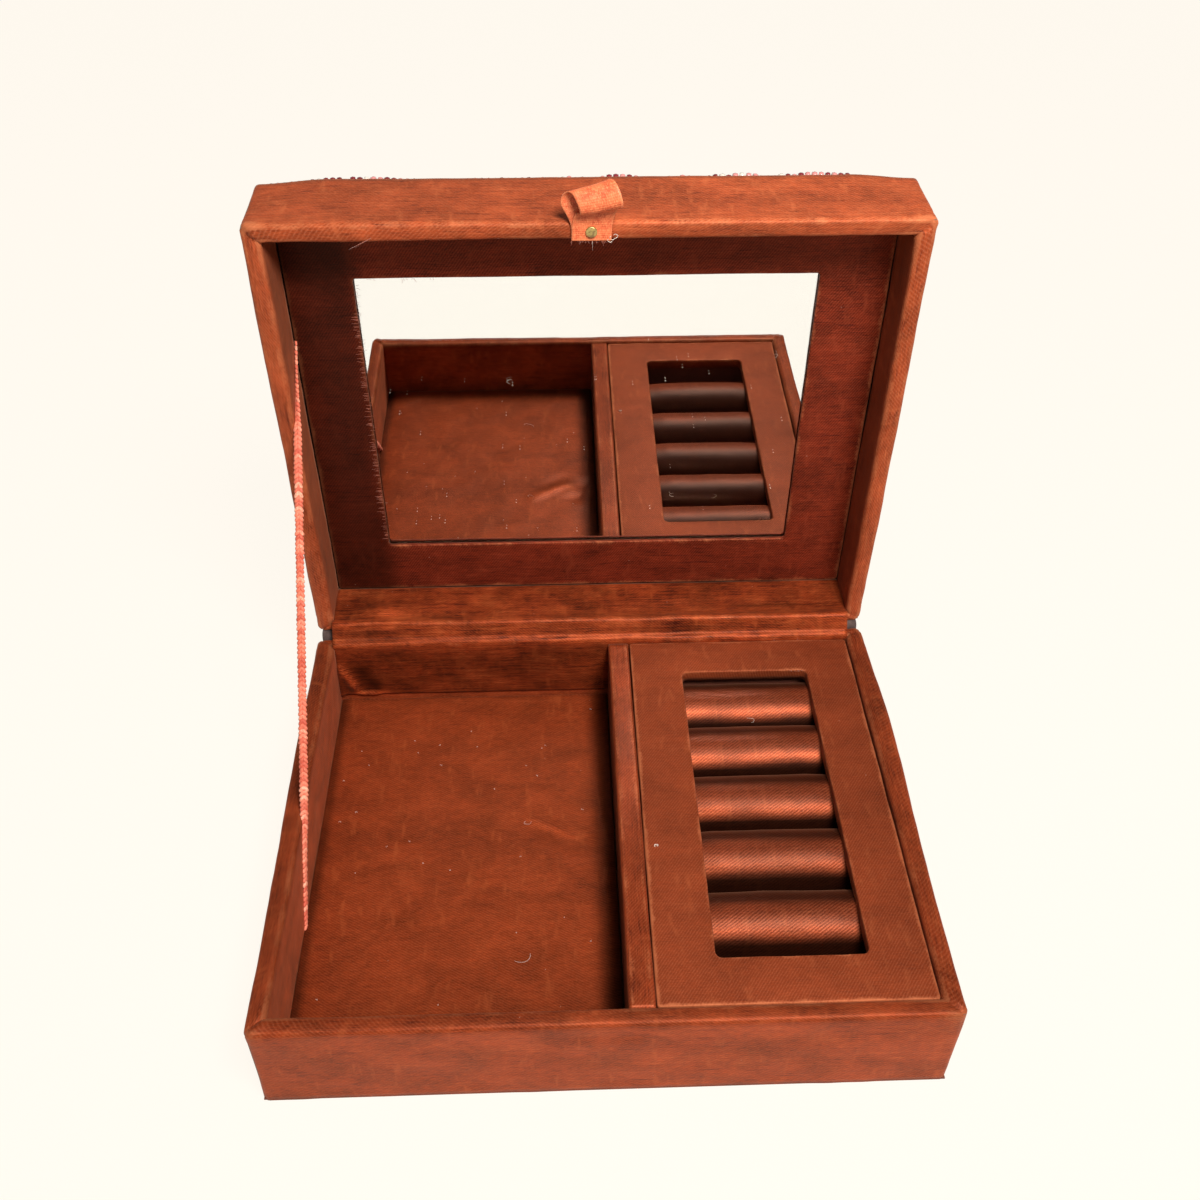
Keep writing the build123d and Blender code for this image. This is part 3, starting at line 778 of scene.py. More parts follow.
def framed_cover(outer, inner, rounds, face, falls, edge, side=1, across=5, spacing=2 * MM,
                 crown=0.0):
    """Cloth that goes up the outside of a frame, over its face and down the inside.

    Gives the grid of points, the share of the way across the face in each column (below 0 outside,
    above 1 inside) and each row's distance from the nearest corner. side is 1 where the face looks up.
    """
    along_x = max(4, round((outer[1] - outer[0]) / spacing))
    along_y = max(4, round((outer[3] - outer[2]) / spacing))
    outside = rounded_loop(outer, rounds[0], along_x, along_y)
    inside = rounded_loop(inner, rounds[1], along_x, along_y)
    reach = np.linalg.norm(inside - outside, axis=1)
    way = (inside - outside) / reach[:, None]
    columns = []
    deep = max(2, round((falls[0] - edge) / spacing))
    for step in range(deep):
        columns.append((0.0, 0.0, falls[0] - (falls[0] - edge) * step / deep, -1 + step / deep))
    for step in range(5):
        angle = step / 4 * pi / 2
        columns.append((0.0, edge * (1 - cos(angle)), edge * (1 - sin(angle)), 0.01 * step))
    for step in range(1, across):
        share = step / across
        columns.append((share, edge * (1 - 2 * share), -crown * sin(pi * share), share))
    for step in range(5):
        angle = pi / 2 - step / 4 * pi / 2
        columns.append((1.0, -edge * (1 - cos(angle)), edge * (1 - sin(angle)), 0.96 + 0.01 * step))
    deep = max(2, round((falls[1] - edge) / spacing))
    for step in range(1, deep + 1):
        columns.append((1.0, 0.0, edge + (falls[1] - edge) * step / deep, 1 + step / deep))
    share, extra, down, place = np.array(columns).T
    across_by = share[None, :] * reach[:, None] + extra[None, :]
    flat = outside[:, None, :] + way[:, None, :] * across_by[..., None]
    height = face - side * np.broadcast_to(down[None, :], across_by.shape)
    grid = np.concatenate([flat, height[..., None]], axis=2)
    return grid, place, from_corner(outside, along_x, along_y)


def graded(low, high, edge, spacing):
    """Places from low to high, close together over the rounded edges."""
    arc = [edge * (1 - cos(step / 4 * pi / 2)) for step in range(5)]
    count = max(2, round((high - low - 2 * edge) / spacing))
    middle = [edge + (high - low - 2 * edge) * step / count for step in range(1, count)]
    far = [high - low - a for a in reversed(arc)]
    run = np.array([0.0, *arc, *middle, *far, high - low])
    return low + run


def pad_top(box, top, edge, fall, spacing, side=1, crown=0.0):
    """Cloth over a flat pad, with rounded edges and sides that go down by fall."""
    x0, x1, y0, y1 = box
    xs, ys = graded(x0, x1, edge, spacing), graded(y0, y1, edge, spacing)
    x, y = np.meshgrid(xs, ys, indexing="ij")
    in_x = np.clip(edge - np.minimum(x - x0, x1 - x), 0, edge)
    in_y = np.clip(edge - np.minimum(y - y0, y1 - y), 0, edge)
    out = np.minimum(np.hypot(in_x, in_y), edge)
    down = edge - np.sqrt(edge**2 - out**2)
    swell = np.sin(pi * (x - x0) / (x1 - x0)) * np.sin(pi * (y - y0) / (y1 - y0))
    down = down - crown * np.abs(swell) ** 0.5
    down[[0, -1], :] = fall
    down[:, [0, -1]] = fall
    return np.stack([x, y, top - side * down], axis=2)


def normals_of(grid, closed_u=False, closed_v=False):
    """Unit normals of a grid of points."""
    def slope(axis, closed):
        if closed:
            return np.roll(grid, -1, axis) - np.roll(grid, 1, axis)
        return np.gradient(grid, axis=axis)
    normal = np.cross(slope(0, closed_u), slope(1, closed_v))
    length = np.linalg.norm(normal, axis=2, keepdims=True)
    return normal / np.maximum(length, 1e-12)


def smooth_noise(points, size, seed):
    """Noise from about -1 to 1 at each point of a grid, with bumps of that size."""
    flat = points.reshape(-1, 3) / size + seed * 13.7
    return np.array([noise.noise(Vector(p)) for p in flat]).reshape(points.shape[:2])


def crumpled(grid, amounts, seed, closed_u=False, flip=False):
    """The grid with soft unevenness: amounts are pairs of (height, size)."""
    normals = normals_of(grid, closed_u) * (-1 if flip else 1)
    lift = sum(height * smooth_noise(grid, size, seed + number)
               for number, (height, size) in enumerate(amounts))
    return grid + normals * lift[..., None]


def ramp(value, low, high):
    """0 before low, 1 beyond high and smooth between them; low may be the larger of the two."""
    share = np.clip((value - low) / (high - low), 0, 1)
    return share * share * (3 - 2 * share)


def hump(value, middle, reach):
    """A soft bump of height 1 round a middle, falling off over its reach."""
    return np.exp(-(((value - middle) / reach) ** 2))


def spot(x, y, height, at_x, reach_x, at_y, reach_y):
    """A soft bump round one place of a piece."""
    return height * hump(x, at_x, reach_x) * hump(y, at_y, reach_y)


def ridge(x, y, start, end, width, height, skew=0.0):
    """A fold along a line on a flat piece, fading at both ends. skew makes one side steeper."""
    a, b = np.array(start), np.array(end)
    along = b - a
    length = np.linalg.norm(along)
    along = along / length
    dx, dy = x - a[0], y - a[1]
    t = (dx * along[0] + dy * along[1]) / length
    off = (-dx * along[1] + dy * along[0]) / width
    off = off * np.where(off > 0, 1 + skew, 1 - skew)
    fade = np.clip(np.sin(pi * np.clip(t, 0, 1)), 0, 1) ** 0.5
    return height * fade * np.exp(-off**2)


def cloth_object(name, grid, closed_u=False, closed_v=False, flat_uv=False, values=None,
                 flip=False):
    """A mesh object from a grid of points, with a UV map in metres of cloth."""
    nu, nv = grid.shape[:2]
    run_u = np.concatenate([[0], np.cumsum(
        np.linalg.norm(np.roll(grid, -1, 0) - grid, axis=2).mean(1))])
    run_v = np.concatenate([[0], np.cumsum(
        np.linalg.norm(np.roll(grid, -1, 1) - grid, axis=2).mean(0))])
    rows = nu if closed_u else nu - 1
    columns = nv if closed_v else nv - 1
    i, j = (a.ravel() for a in np.meshgrid(np.arange(rows), np.arange(columns), indexing="ij"))
    corner_i = np.stack([i, i + 1, i + 1, i], 1)
    corner_j = np.stack([j, j, j + 1, j + 1], 1)
    if flip:
        corner_i, corner_j = corner_i[:, ::-1], corner_j[:, ::-1]
    index = (corner_i % nu) * nv + corner_j % nv
    points = grid.reshape(-1, 3)
    mesh = bpy.data.meshes.new(name)
    mesh.from_pydata(points.tolist(), [], index.tolist())
    layer = mesh.uv_layers.new(name="cloth")
    if flat_uv:
        at = points[index]
        uv = np.stack([at[..., 0] + at[..., 2], at[..., 1] + at[..., 2]], axis=-1)
    else:
        uv = np.stack([run_u[corner_i], run_v[corner_j]], axis=-1)
    layer.data.foreach_set("uv", uv.astype(np.float32).ravel())
    for label, value in (values or {}).items():
        attribute = mesh.attributes.new(label, "FLOAT", "POINT")
        full = np.broadcast_to(value, (nu, nv)).astype(np.float32)
        attribute.data.foreach_set("value", full.ravel())
    return put_in_scene(name, smoothed(mesh))


def put_in_scene(name, data):
    """An object for a mesh, a lamp or a camera, in the scene."""
    obj = bpy.data.objects.new(name, data)
    bpy.context.scene.collection.objects.link(obj)
    return obj


def smoothed(mesh):
    """The mesh with its faces shaded smooth."""
    mesh.polygons.foreach_set("use_smooth", [True] * len(mesh.polygons))
    return mesh


def settle(obj):
    """The object with its modifiers made part of its mesh."""
    depsgraph = bpy.context.evaluated_depsgraph_get()
    mesh = bpy.data.meshes.new_from_object(
        obj.evaluated_get(depsgraph), preserve_all_data_layers=True, depsgraph=depsgraph)
    old = obj.data
    obj.modifiers.clear()
    obj.data = mesh
    bpy.data.meshes.remove(old)
    mesh.name = obj.name
    return obj


def cleaned(obj, distance=0.002 * MM):
    """The object without doubled points."""
    shape = bmesh.new()
    shape.from_mesh(obj.data)
    bmesh.ops.remove_doubles(shape, verts=shape.verts, dist=distance)
    bmesh.ops.dissolve_degenerate(shape, edges=shape.edges, dist=distance)
    shape.to_mesh(obj.data)
    shape.free()
    return obj


def ends_closed(obj):
    """The object with its open ends filled and its faces turned outwards."""
    shape = bmesh.new()
    shape.from_mesh(obj.data)
    bmesh.ops.holes_fill(shape, edges=[e for e in shape.edges if e.is_boundary], sides=0)
    bmesh.ops.recalc_face_normals(shape, faces=shape.faces)
    shape.to_mesh(obj.data)
    shape.free()
    return obj


def thickened(obj, thickness=SATIN_THICKNESS, lining=False):
    """The sheet with real thickness behind its outer face.

    lining gives the back and the rim the object's second material.
    """
    solid = obj.modifiers.new("thickness", "SOLIDIFY")
    solid.thickness = thickness
    solid.offset = -1
    solid.use_even_offset = True
    solid.thickness_clamp = 1.5
    if lining:
        solid.material_offset = 1
        solid.material_offset_rim = 1
    return settle(obj)


def painted(obj, *materials):
    """The object with these materials in its slots."""
    obj.data.materials.clear()
    for name in materials:
        obj.data.materials.append(MATERIALS[name])
    return obj


def opened(obj):
    """A lid piece turned from the shut box to the open one, in its mesh."""
    obj.data.transform(OPENING)
    obj.data.update()
    return obj


# Cloth simulation


def swollen(obj, pressure, held, frames, cap, scale=10.0, stiffness=15.0):
    """Puffs a closed cover up with Blender's cloth simulation at ten times its size.

    held are the vertices that stay where they are, and cap the farthest that any other may move.
    """
    scene = bpy.context.scene
    start = np.array([v.co for v in obj.data.vertices])
    obj.data.transform(Matrix.Scale(scale, 4))
    group = obj.vertex_groups.new(name="held")
    group.add(held, 1.0, "REPLACE")
    cloth = obj.modifiers.new("cloth", "CLOTH")
    cloth.settings.quality = 6
    cloth.settings.mass = 0.3
    cloth.settings.tension_stiffness = stiffness
    cloth.settings.compression_stiffness = stiffness
    cloth.settings.shear_stiffness = stiffness / 3
    cloth.settings.bending_stiffness = 0.6
    cloth.settings.use_pressure = True
    cloth.settings.uniform_pressure_force = pressure
    cloth.settings.effector_weights.gravity = 0.0
    cloth.settings.vertex_group_mass = "held"
    cloth.collision_settings.use_collision = False
    cloth.point_cache.frame_start = 1
    cloth.point_cache.frame_end = frames
    for number in range(1, frames + 1):
        scene.frame_set(number)
    depsgraph = bpy.context.evaluated_depsgraph_get()
    shown = obj.evaluated_get(depsgraph).to_mesh()
    end = np.array([v.co for v in shown.vertices]) / scale
    obj.modifiers.clear()
    obj.vertex_groups.clear()
    shift = end - start
    length = np.linalg.norm(shift, axis=1, keepdims=True)
    shift = shift * np.minimum(1.0, cap / np.maximum(length, 1e-9))
    obj.data.vertices.foreach_set("co", (start + shift).astype(np.float32).ravel())
    obj.data.update()
    scene.frame_set(1)
    return obj


# Stage


class MakeStage(bpy.types.Operator):
    """Sets up the pale floor, the soft lamp, the fill light and the camera"""

    bl_idname = "jewelry_box.make_stage"
    bl_label = "Stage"

    def execute(self, context):
        scene = context.scene
        setup = scene.jewelry_box_stage
        scene.view_settings.view_transform = "Standard"
        self.make_floor(setup)
        self.make_world(setup)
        self.make_lamp(setup)
        self.make_camera(setup)
        return {"FINISHED"}

    def make_floor(self, setup):
        mesh = bpy.data.meshes.new("floor")
        half_side = 6.0
        corners = [(x * half_side, y * half_side, 0) for x, y in ((-1, -1), (1, -1), (1, 1), (-1, 1))]
        mesh.from_pydata(corners, [], [(0, 1, 2, 3)])
        floor = put_in_scene("floor", smoothed(mesh))
        material = bpy.data.materials.new("stage_floor")
        material.use_nodes = True
        material.node_tree.nodes.clear()
        w = Wiring(material.node_tree)
        plain = w.node("ShaderNodeBsdfDiffuse", {"Color": shade(setup.floor)})
        path = w.node("ShaderNodeLightPath").outputs
        seen_plain, seen_in_mirror = 0.98, 1.31
        through = w.spread(path["Is Transmission Ray"], 0.0, 1.0, seen_plain, seen_in_mirror)
        seen = w.node("ShaderNodeEmission", {"Color": shade(setup.backdrop), "Strength": through})
        faint = w.node("ShaderNodeBsdfDiffuse", {"Color": shade([c * 0.08 for c in setup.floor])})
        both = w.node("ShaderNodeAddShader", {0: faint.outputs[0], 1: seen.outputs[0]})
        looked = w.math("MAXIMUM", path["Is Camera Ray"], path["Is Glossy Ray"])
        looked = w.math("MAXIMUM", looked, path["Is Transmission Ray"])
        pick = w.node("ShaderNodeMixShader", {0: looked, 1: plain.outputs[0], 2: both.outputs[0]})
        out = w.node("ShaderNodeOutputMaterial")
        w.feed(out.inputs["Surface"], pick.outputs[0])
        mesh.materials.append(material)

    def make_world(self, setup):
        world = bpy.data.worlds.new("studio")
        bpy.context.scene.world = world
        world.use_nodes = True
        world.node_tree.nodes.clear()
        w = Wiring(world.node_tree)
        fill = w.node("ShaderNodeBackground", {"Color": (1.0, 0.985, 0.965, 1.0),
                                               "Strength": setup.fill})
        seen = w.node("ShaderNodeBackground", {"Color": shade(setup.backdrop), "Strength": 1.0})
        path = w.node("ShaderNodeLightPath").outputs
        looked = w.math("MAXIMUM", path["Is Camera Ray"], path["Is Transmission Ray"])
        pick = w.node("ShaderNodeMixShader", {0: looked, 1: fill.outputs[0], 2: seen.outputs[0]})
        out = w.node("ShaderNodeOutputWorld")
        w.feed(out.inputs["Surface"], pick.outputs[0])

    def make_lamp(self, setup):
        data = bpy.data.lights.new("key", "AREA")
        data.shape = "SQUARE"
        data.size = setup.key_size
        data.energy = setup.key_power
        data.color = (1.0, 0.985, 0.96)
        lamp = put_in_scene("key", data)
        toward = Vector(LAMP_TOWARD).normalized()
        lamp.location = Vector((0, 0, 0.05)) + toward * setup.key_distance
        lamp.rotation_euler = toward.to_track_quat("Z", "Y").to_euler()

    def make_camera(self, setup):
        data = bpy.data.cameras.new("camera")
        data.sensor_fit = "HORIZONTAL"
        data.sensor_width = 36.0
        data.lens = setup.lens
        data.clip_start = 0.01
        data.clip_end = 50.0
        camera = put_in_scene("camera", data)
        camera.matrix_world = (
            Matrix.Translation(CAMERA_AT)
            @ Matrix.Rotation(radians(CAMERA_TURN), 4, "Z")
            @ Matrix.Rotation(radians(90 - CAMERA_DOWN), 4, "X")
            @ Matrix.Rotation(radians(CAMERA_ROLL), 4, "Z")
        )
        bpy.context.scene.camera = camera


# Satin over the walls


def face_rise(x, y, most=2.3):
    """How far wadding lifts the lid's face and its front edge at a place, in metres."""
    return most * MM * ramp(np.abs(x), 82 * MM, 66 * MM) * ramp(y, 64 * MM, 20 * MM)


def rim_edge_value(place, outer_share=1.0):
    """How much each column of a framed cover is a rubbed edge."""
    return np.maximum(outer_share * hump(place, 0.02, 0.05), hump(place, 0.98, 0.05) * 0.7)


def wall_sleeve(name, outer_box, inner_box, rim, falls, side, seed, painted_light_plum_and_wear, bows):
    """Satin glued over four walls: outside, over the rim with folded corners, and inside.

    Of its seven tones, the first five are the painted light and shade of the outside, the rim, the inside
    and the front's left and right, then come how plum the front's rim is and how rubbed its outer edge.
    bows are how far the left and right walls bulge out and the front wall rises at its far edge, in mm.
    """
    out, over, inside, front_left, front_right, plum, worn = painted_light_plum_and_wear
    grid, place, corner = framed_cover(outer_box, inner_box, (1.5 * MM, 0.5 * MM), rim, falls,
                                       RIM_ROUND, side, across=6, spacing=1.6 * MM,
                                       crown=0.12 * MM)
    flip = side < 0
    front = ramp(-grid[..., 1], -outer_box[2] - 4 * MM, -outer_box[2] - 0.5 * MM)
    normals = normals_of(grid, True) * (-1 if flip else 1)
    over_rim = np.clip(1.2 - np.abs(place - 0.5) * 1.3, 0, 1)
    overlap = np.where(corner >= 0, np.exp(-corner / (5 * MM)), 0.0)
    crease = -hump(corner, 0, 0.8 * MM)
    near = hump(corner, 0, 5.5 * MM)
    lift = (0.5 * overlap + 0.5 * crease)[:, None] * over_rim[None, :]
    pucker = smooth_noise(grid, 1.7 * MM, seed + 5)
    lift = lift + 0.5 * pucker * (near[:, None] * over_rim[None, :])
    lift = lift + 0.26 * smooth_noise(grid, 22 * MM, seed) + 0.1 * smooth_noise(grid, 6 * MM, seed + 1)
    if side > 0:
        nail_dent = hump(grid[..., 0], 0, 5 * MM) * front * (place > -0.2)[None, :]
        lift = lift - 1.6 * nail_dent
    least = np.where(place < -0.9, 0.12, -0.06)[None, :]
    grid = grid + normals * (np.maximum(lift + 0.14, least) * MM)[..., None]
    at_y = grid[..., 1] / MM
    bulge = hump(at_y, 22, 34) * ramp(-grid[..., 2], -3 * MM, -20 * MM)
    bulge = bulge * (ramp(place, 0.35, -0.05) * ramp(np.abs(grid[..., 0]), 76 * MM, 82 * MM)) * MM
    grid[..., 0] += bulge * np.where(grid[..., 0] < 0, -bows[0], bows[1])
    edge = rim_edge_value(place, worn)[None, :] + 0.5 * near[:, None] * (over_rim > 0.4)[None, :]
    stain = hump(place, 0.1, 0.1)[None, :] * (1 - near[:, None])
    stain = stain * (0.25 + front * (plum - 0.25))
    # Painted light and shade: one level for the outside, the rim and the inside, and on the front's
    # outside a level that goes from left to right.
    painted_light = out + (over - out) * ramp(place, -0.05, 0.08) + (inside - over) * ramp(place, 0.95, 1.1)
    at_front = front_left + (front_right - front_left) * ramp(grid[..., 0], -40 * MM, 40 * MM)
    painted_light = painted_light[None, :] + (at_front - out) * front * (place < 0.02)[None, :]
    far = ramp(grid[..., 2], rim + 8 * MM, rim + 22 * MM) * (place < 0)[None, :]
    grid[..., 2] += face_rise(grid[..., 0], grid[..., 1], bows[2]) * far
    values = {"edge": edge, "stain": stain, "painted_light": painted_light}
    return cloth_object(name, grid, closed_u=True, flip=flip, values=values), grid


class MakeSleeves(bpy.types.Operator):
    """Wraps the satin over the walls of the base and of the lid"""

    bl_idname = "jewelry_box.make_sleeves"
    bl_label = "Satin over the walls"

    def execute(self, context):
        low, high = node_box("base_satin_wrap")
        outer = (low[0], high[0], low[1], high[1])
        inner = (low[0] + SIDE_WALL, high[0] - SIDE_WALL, low[1] + SIDE_WALL, high[1] - BACK_WALL)
        base, grid = wall_sleeve("base_sleeve", outer, inner, high[2],
                                 (high[2] - 0.1 * MM, high[2] - 4.2 * MM), 1, 1,
                                 (0.0, -0.42, 0.02, 0.02, 0.0, 0.5, 0.35), (0.9, 1.8, 0.0))
        thickened(painted(base, "satin_base"))
        self.place(base, grid, "base", "base_satin_wrap")
        low, high = node_box("lid_satin_wrap", shut=True)
        lid, grid = wall_sleeve("lid_sleeve", outer, inner, low[2],
                                (high[2] - low[2] - 0.2 * MM, 15.4 * MM), -1, 2,
                                (0.0, 0.1, -0.24, 0.3, 0.58, 0.25, 0.7), (0.3, 0.3, 2.3))
        opened(thickened(painted(lid, "satin_lid")))
        self.place(lid, grid, "lid", "lid_satin_wrap")
        return {"FINISHED"}

    def place(self, obj, grid, body, node):
        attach(obj, body)
        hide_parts(node)


# Padded faces


class MakePads(bpy.types.Operator):
    """Covers the tray's floor and the lid's outer face with satin over wadding"""

    bl_idname = "jewelry_box.make_pads"
    bl_label = "Tray floor and lid face"

    def execute(self, context):
        self.tray_floor()
        self.lid_face()
        return {"FINISHED"}

    def tray_floor(self):
        low, high = node_box("floor_satin")
        box = (low[0] - 0.15 * MM, high[0] + 0.1 * MM, low[1], high[1])
        grid = pad_top(box, high[2], 0.5 * MM, 2.6 * MM, 1.0 * MM, crown=0.3 * MM)
        x, y = grid[..., 0] / MM, grid[..., 1] / MM
        lift = sum(ridge(x, y, *fold) for fold in FLOOR_FOLDS)
        lift -= 0.9 * hump(x, -79, 5.5) + 0.7 * hump(x, 5.2, 4)
        inside = (x > box[0] / MM + 1) & (x < box[1] / MM - 1)
        inside &= (y > box[2] / MM + 1) & (y < box[3] / MM - 1)
        soft = 0.32 * smooth_noise(grid, 24 * MM, 5) + 0.14 * smooth_noise(grid, 7 * MM, 6)
        grid[..., 2] += np.where(inside, np.maximum(lift + soft + 0.7, 0.03), 0.0) * MM
        # Painted light and shade: a highlight along one fold with shade beside it, a painted shadow of the
        # divider along the right, and darker by the left wall and towards the front.
        painted_light = ridge(x, y, (-21, 11.6), (-4.5, 3), 1.3, 0.75, 0.4)
        painted_light = painted_light - ridge(x, y, (-19, 7.5), (-2, 0.5), 2.4, 0.4)
        painted_light = painted_light - 0.62 * ramp(x, -3, 3) - 0.6 * ramp(x, -74.5, -77.5) - 0.24 * ramp(y, -25, -58)
        floor = cloth_object("tray_floor_cloth", grid, flat_uv=True, values={"painted_light": painted_light})
        thickened(painted(cleaned(floor), "satin_floor"))
        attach(floor, "base")
        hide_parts("floor_satin", "floor_wadding")

    def lid_face(self):
        low, high = node_box("lid_top_satin", shut=True)
        box = (low[0], high[0], low[1], high[1])
        grid = pad_top(box, high[2] - 0.25 * MM, 1.3 * MM, 1.6 * MM, 1.7 * MM, crown=0.25 * MM)
        grid = crumpled(grid, [(0.14 * MM, 12 * MM), (0.07 * MM, 4 * MM)], 8)
        turn = 1.7 * MM
        past_x = np.maximum(np.abs(grid[..., 0]) - (box[1] - turn), 0)
        past_y = np.maximum(np.abs(grid[..., 1]) - (box[3] - turn), 0)
        back = np.minimum(1, turn / np.maximum(np.hypot(past_x, past_y), 1e-9)) - 1
        grid[..., 0] += np.sign(grid[..., 0]) * past_x * back
        grid[..., 1] += np.sign(grid[..., 1]) * past_y * back
        x, y = grid[..., 0], grid[..., 1]
        inset = 5.0 * MM
        near = np.minimum.reduce([np.abs(np.abs(x) - (box[1] - inset)),
                                  np.abs(np.abs(y) - (box[3] - inset))])
        grid[..., 2] -= 0.16 * MM * hump(near, 0, 1.6 * MM)
        grid[..., 2] += face_rise(x, y)
        edge = hump(np.minimum(box[1] - np.abs(x), box[3] - np.abs(y)), 0, 0.9 * MM)
        face = cloth_object("lid_face_cloth", grid, flat_uv=True, values={"edge": edge})
        opened(thickened(painted(cleaned(face), "satin_lid_face")))
        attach(face, "lid")
        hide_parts("lid_top_satin", "lid_top_wadding")


# Divider, ring panel and mirror mat


class MakePanels(bpy.types.Operator):
    """Covers the divider, the ring panel and the mirror's mat with satin"""

    bl_idname = "jewelry_box.make_panels"
    bl_label = "Divider, ring panel and mat"

    def execute(self, context):
        self.divider()
        self.ring_panel()
        self.mirror_mat()
        return {"FINISHED"}

    def divider(self):
        low, high = node_box("divider_satin")
        edge = 0.75 * MM
        bottom = 6.6 * MM
        high[0] += 0.35 * MM
        side = [(low[0], z) for z in np.linspace(bottom, high[2] - edge, 14)]
        left = [(low[0] + edge * (1 - cos(a)), high[2] - edge * (1 - sin(a)))
                for a in np.linspace(0, pi / 2, 7)[1:]]
        top = [(x, high[2]) for x in np.linspace(low[0] + edge, high[0] - edge, 6)[1:-1]]
        right = [(low[0] + high[0] - x, z) for x, z in reversed(side + left)]
        profile = np.array(side + left + top + right)
        ys = np.arange(low[1] - 0.2 * MM, high[1] + 0.2 * MM, 1.2 * MM)
        grid = np.zeros((len(ys), len(profile), 3))
        grid[..., 0], grid[..., 2] = profile.T[:, None, :]
        grid[..., 1] = ys[:, None]
        grid = crumpled(grid, [(0.16 * MM, 26 * MM), (0.07 * MM, 6 * MM)], 12, flip=True)
        run = np.linspace(-1, 1, len(profile))
        corner = hump(np.abs(run), 0.12, 0.07)
        # Painted shade on the divider's sides, from just below its top downwards.
        painted_light = -0.62 * ramp(profile[:, 1], high[2] - 0.5 * MM, high[2] - 3 * MM) - 0.05
        cover = cloth_object("divider_cover", grid, flip=True,
                             values={"edge": corner[None, :] * 0.7, "painted_light": painted_light[None, :]})
        thickened(painted(cover, "satin_divider"))
        self.place(cover, grid, False, "base", "divider_satin", "divider_board")

    def ring_panel(self):
        low, high = node_box("ring_panel_satin")
        outer = (low[0], high[0], low[1], high[1])
        grid, place, _ = framed_cover(outer, RING_WINDOW, (0.8 * MM, 1.8 * MM), high[2],
                                      (2.4 * MM, 3.6 * MM), 0.5 * MM, across=12,
                                      spacing=1.3 * MM, crown=0.22 * MM)
        grid = crumpled(grid, [(0.16 * MM, 15 * MM), (0.08 * MM, 4 * MM)], 15, True)
        # Painted light on the panel: lighter towards the back and left, darker towards the right.
        painted_light = 0.1 * ramp(grid[..., 1], 0, 50 * MM) * ramp(grid[..., 0], 50 * MM, 20 * MM)
        painted_light = painted_light - 0.14 * ramp(grid[..., 0], 55 * MM, 76 * MM)
        cover = cloth_object("ring_panel_cover", grid, closed_u=True, flat_uv=True,
                             values={"edge": rim_edge_value(place)[None, :], "painted_light": painted_light})
        thickened(painted(cover, "satin_panel"))
        self.place(cover, grid, True, "base", "ring_panel_satin", "ring_panel_card")

    def mirror_mat(self):
        low, high = node_box("mirror_mat_satin", shut=True)
        outer = (low[0], high[0], low[1], high[1])
        grid, place, _ = framed_cover(outer, MIRROR_WINDOW, (0.6 * MM, 0.9 * MM), low[2],
                                      (0.9 * MM, 1.0 * MM), 0.5 * MM, side=-1, across=14,
                                      spacing=1.5 * MM, crown=0.1 * MM)
        grid = crumpled(grid, [(0.14 * MM, 20 * MM), (0.06 * MM, 5 * MM)], 18, True, True)
        x, y = grid[..., 0] / MM, grid[..., 1] / MM
        # Painted light and shade on the mat: lighter at the right, darker at the left and towards its
        # front edge.
        painted_light = 0.2 * ramp(x, 55, 66) - 0.68 * ramp(x, -55, -64) - 0.08 * ramp(y, -38, -50)
        mat = cloth_object("mirror_mat_cover", grid, closed_u=True, flat_uv=True, flip=True,
                           values={"edge": rim_edge_value(place)[None, :], "painted_light": painted_light})
        opened(thickened(painted(mat, "satin_mat"), 0.3 * MM))
        self.place(mat, grid, True, "lid", "mirror_mat_satin", "mirror_mat_card")

    def place(self, obj, grid, closed, body, node, rests_on):
        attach(obj, body)
        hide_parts(node)


# Ring rolls


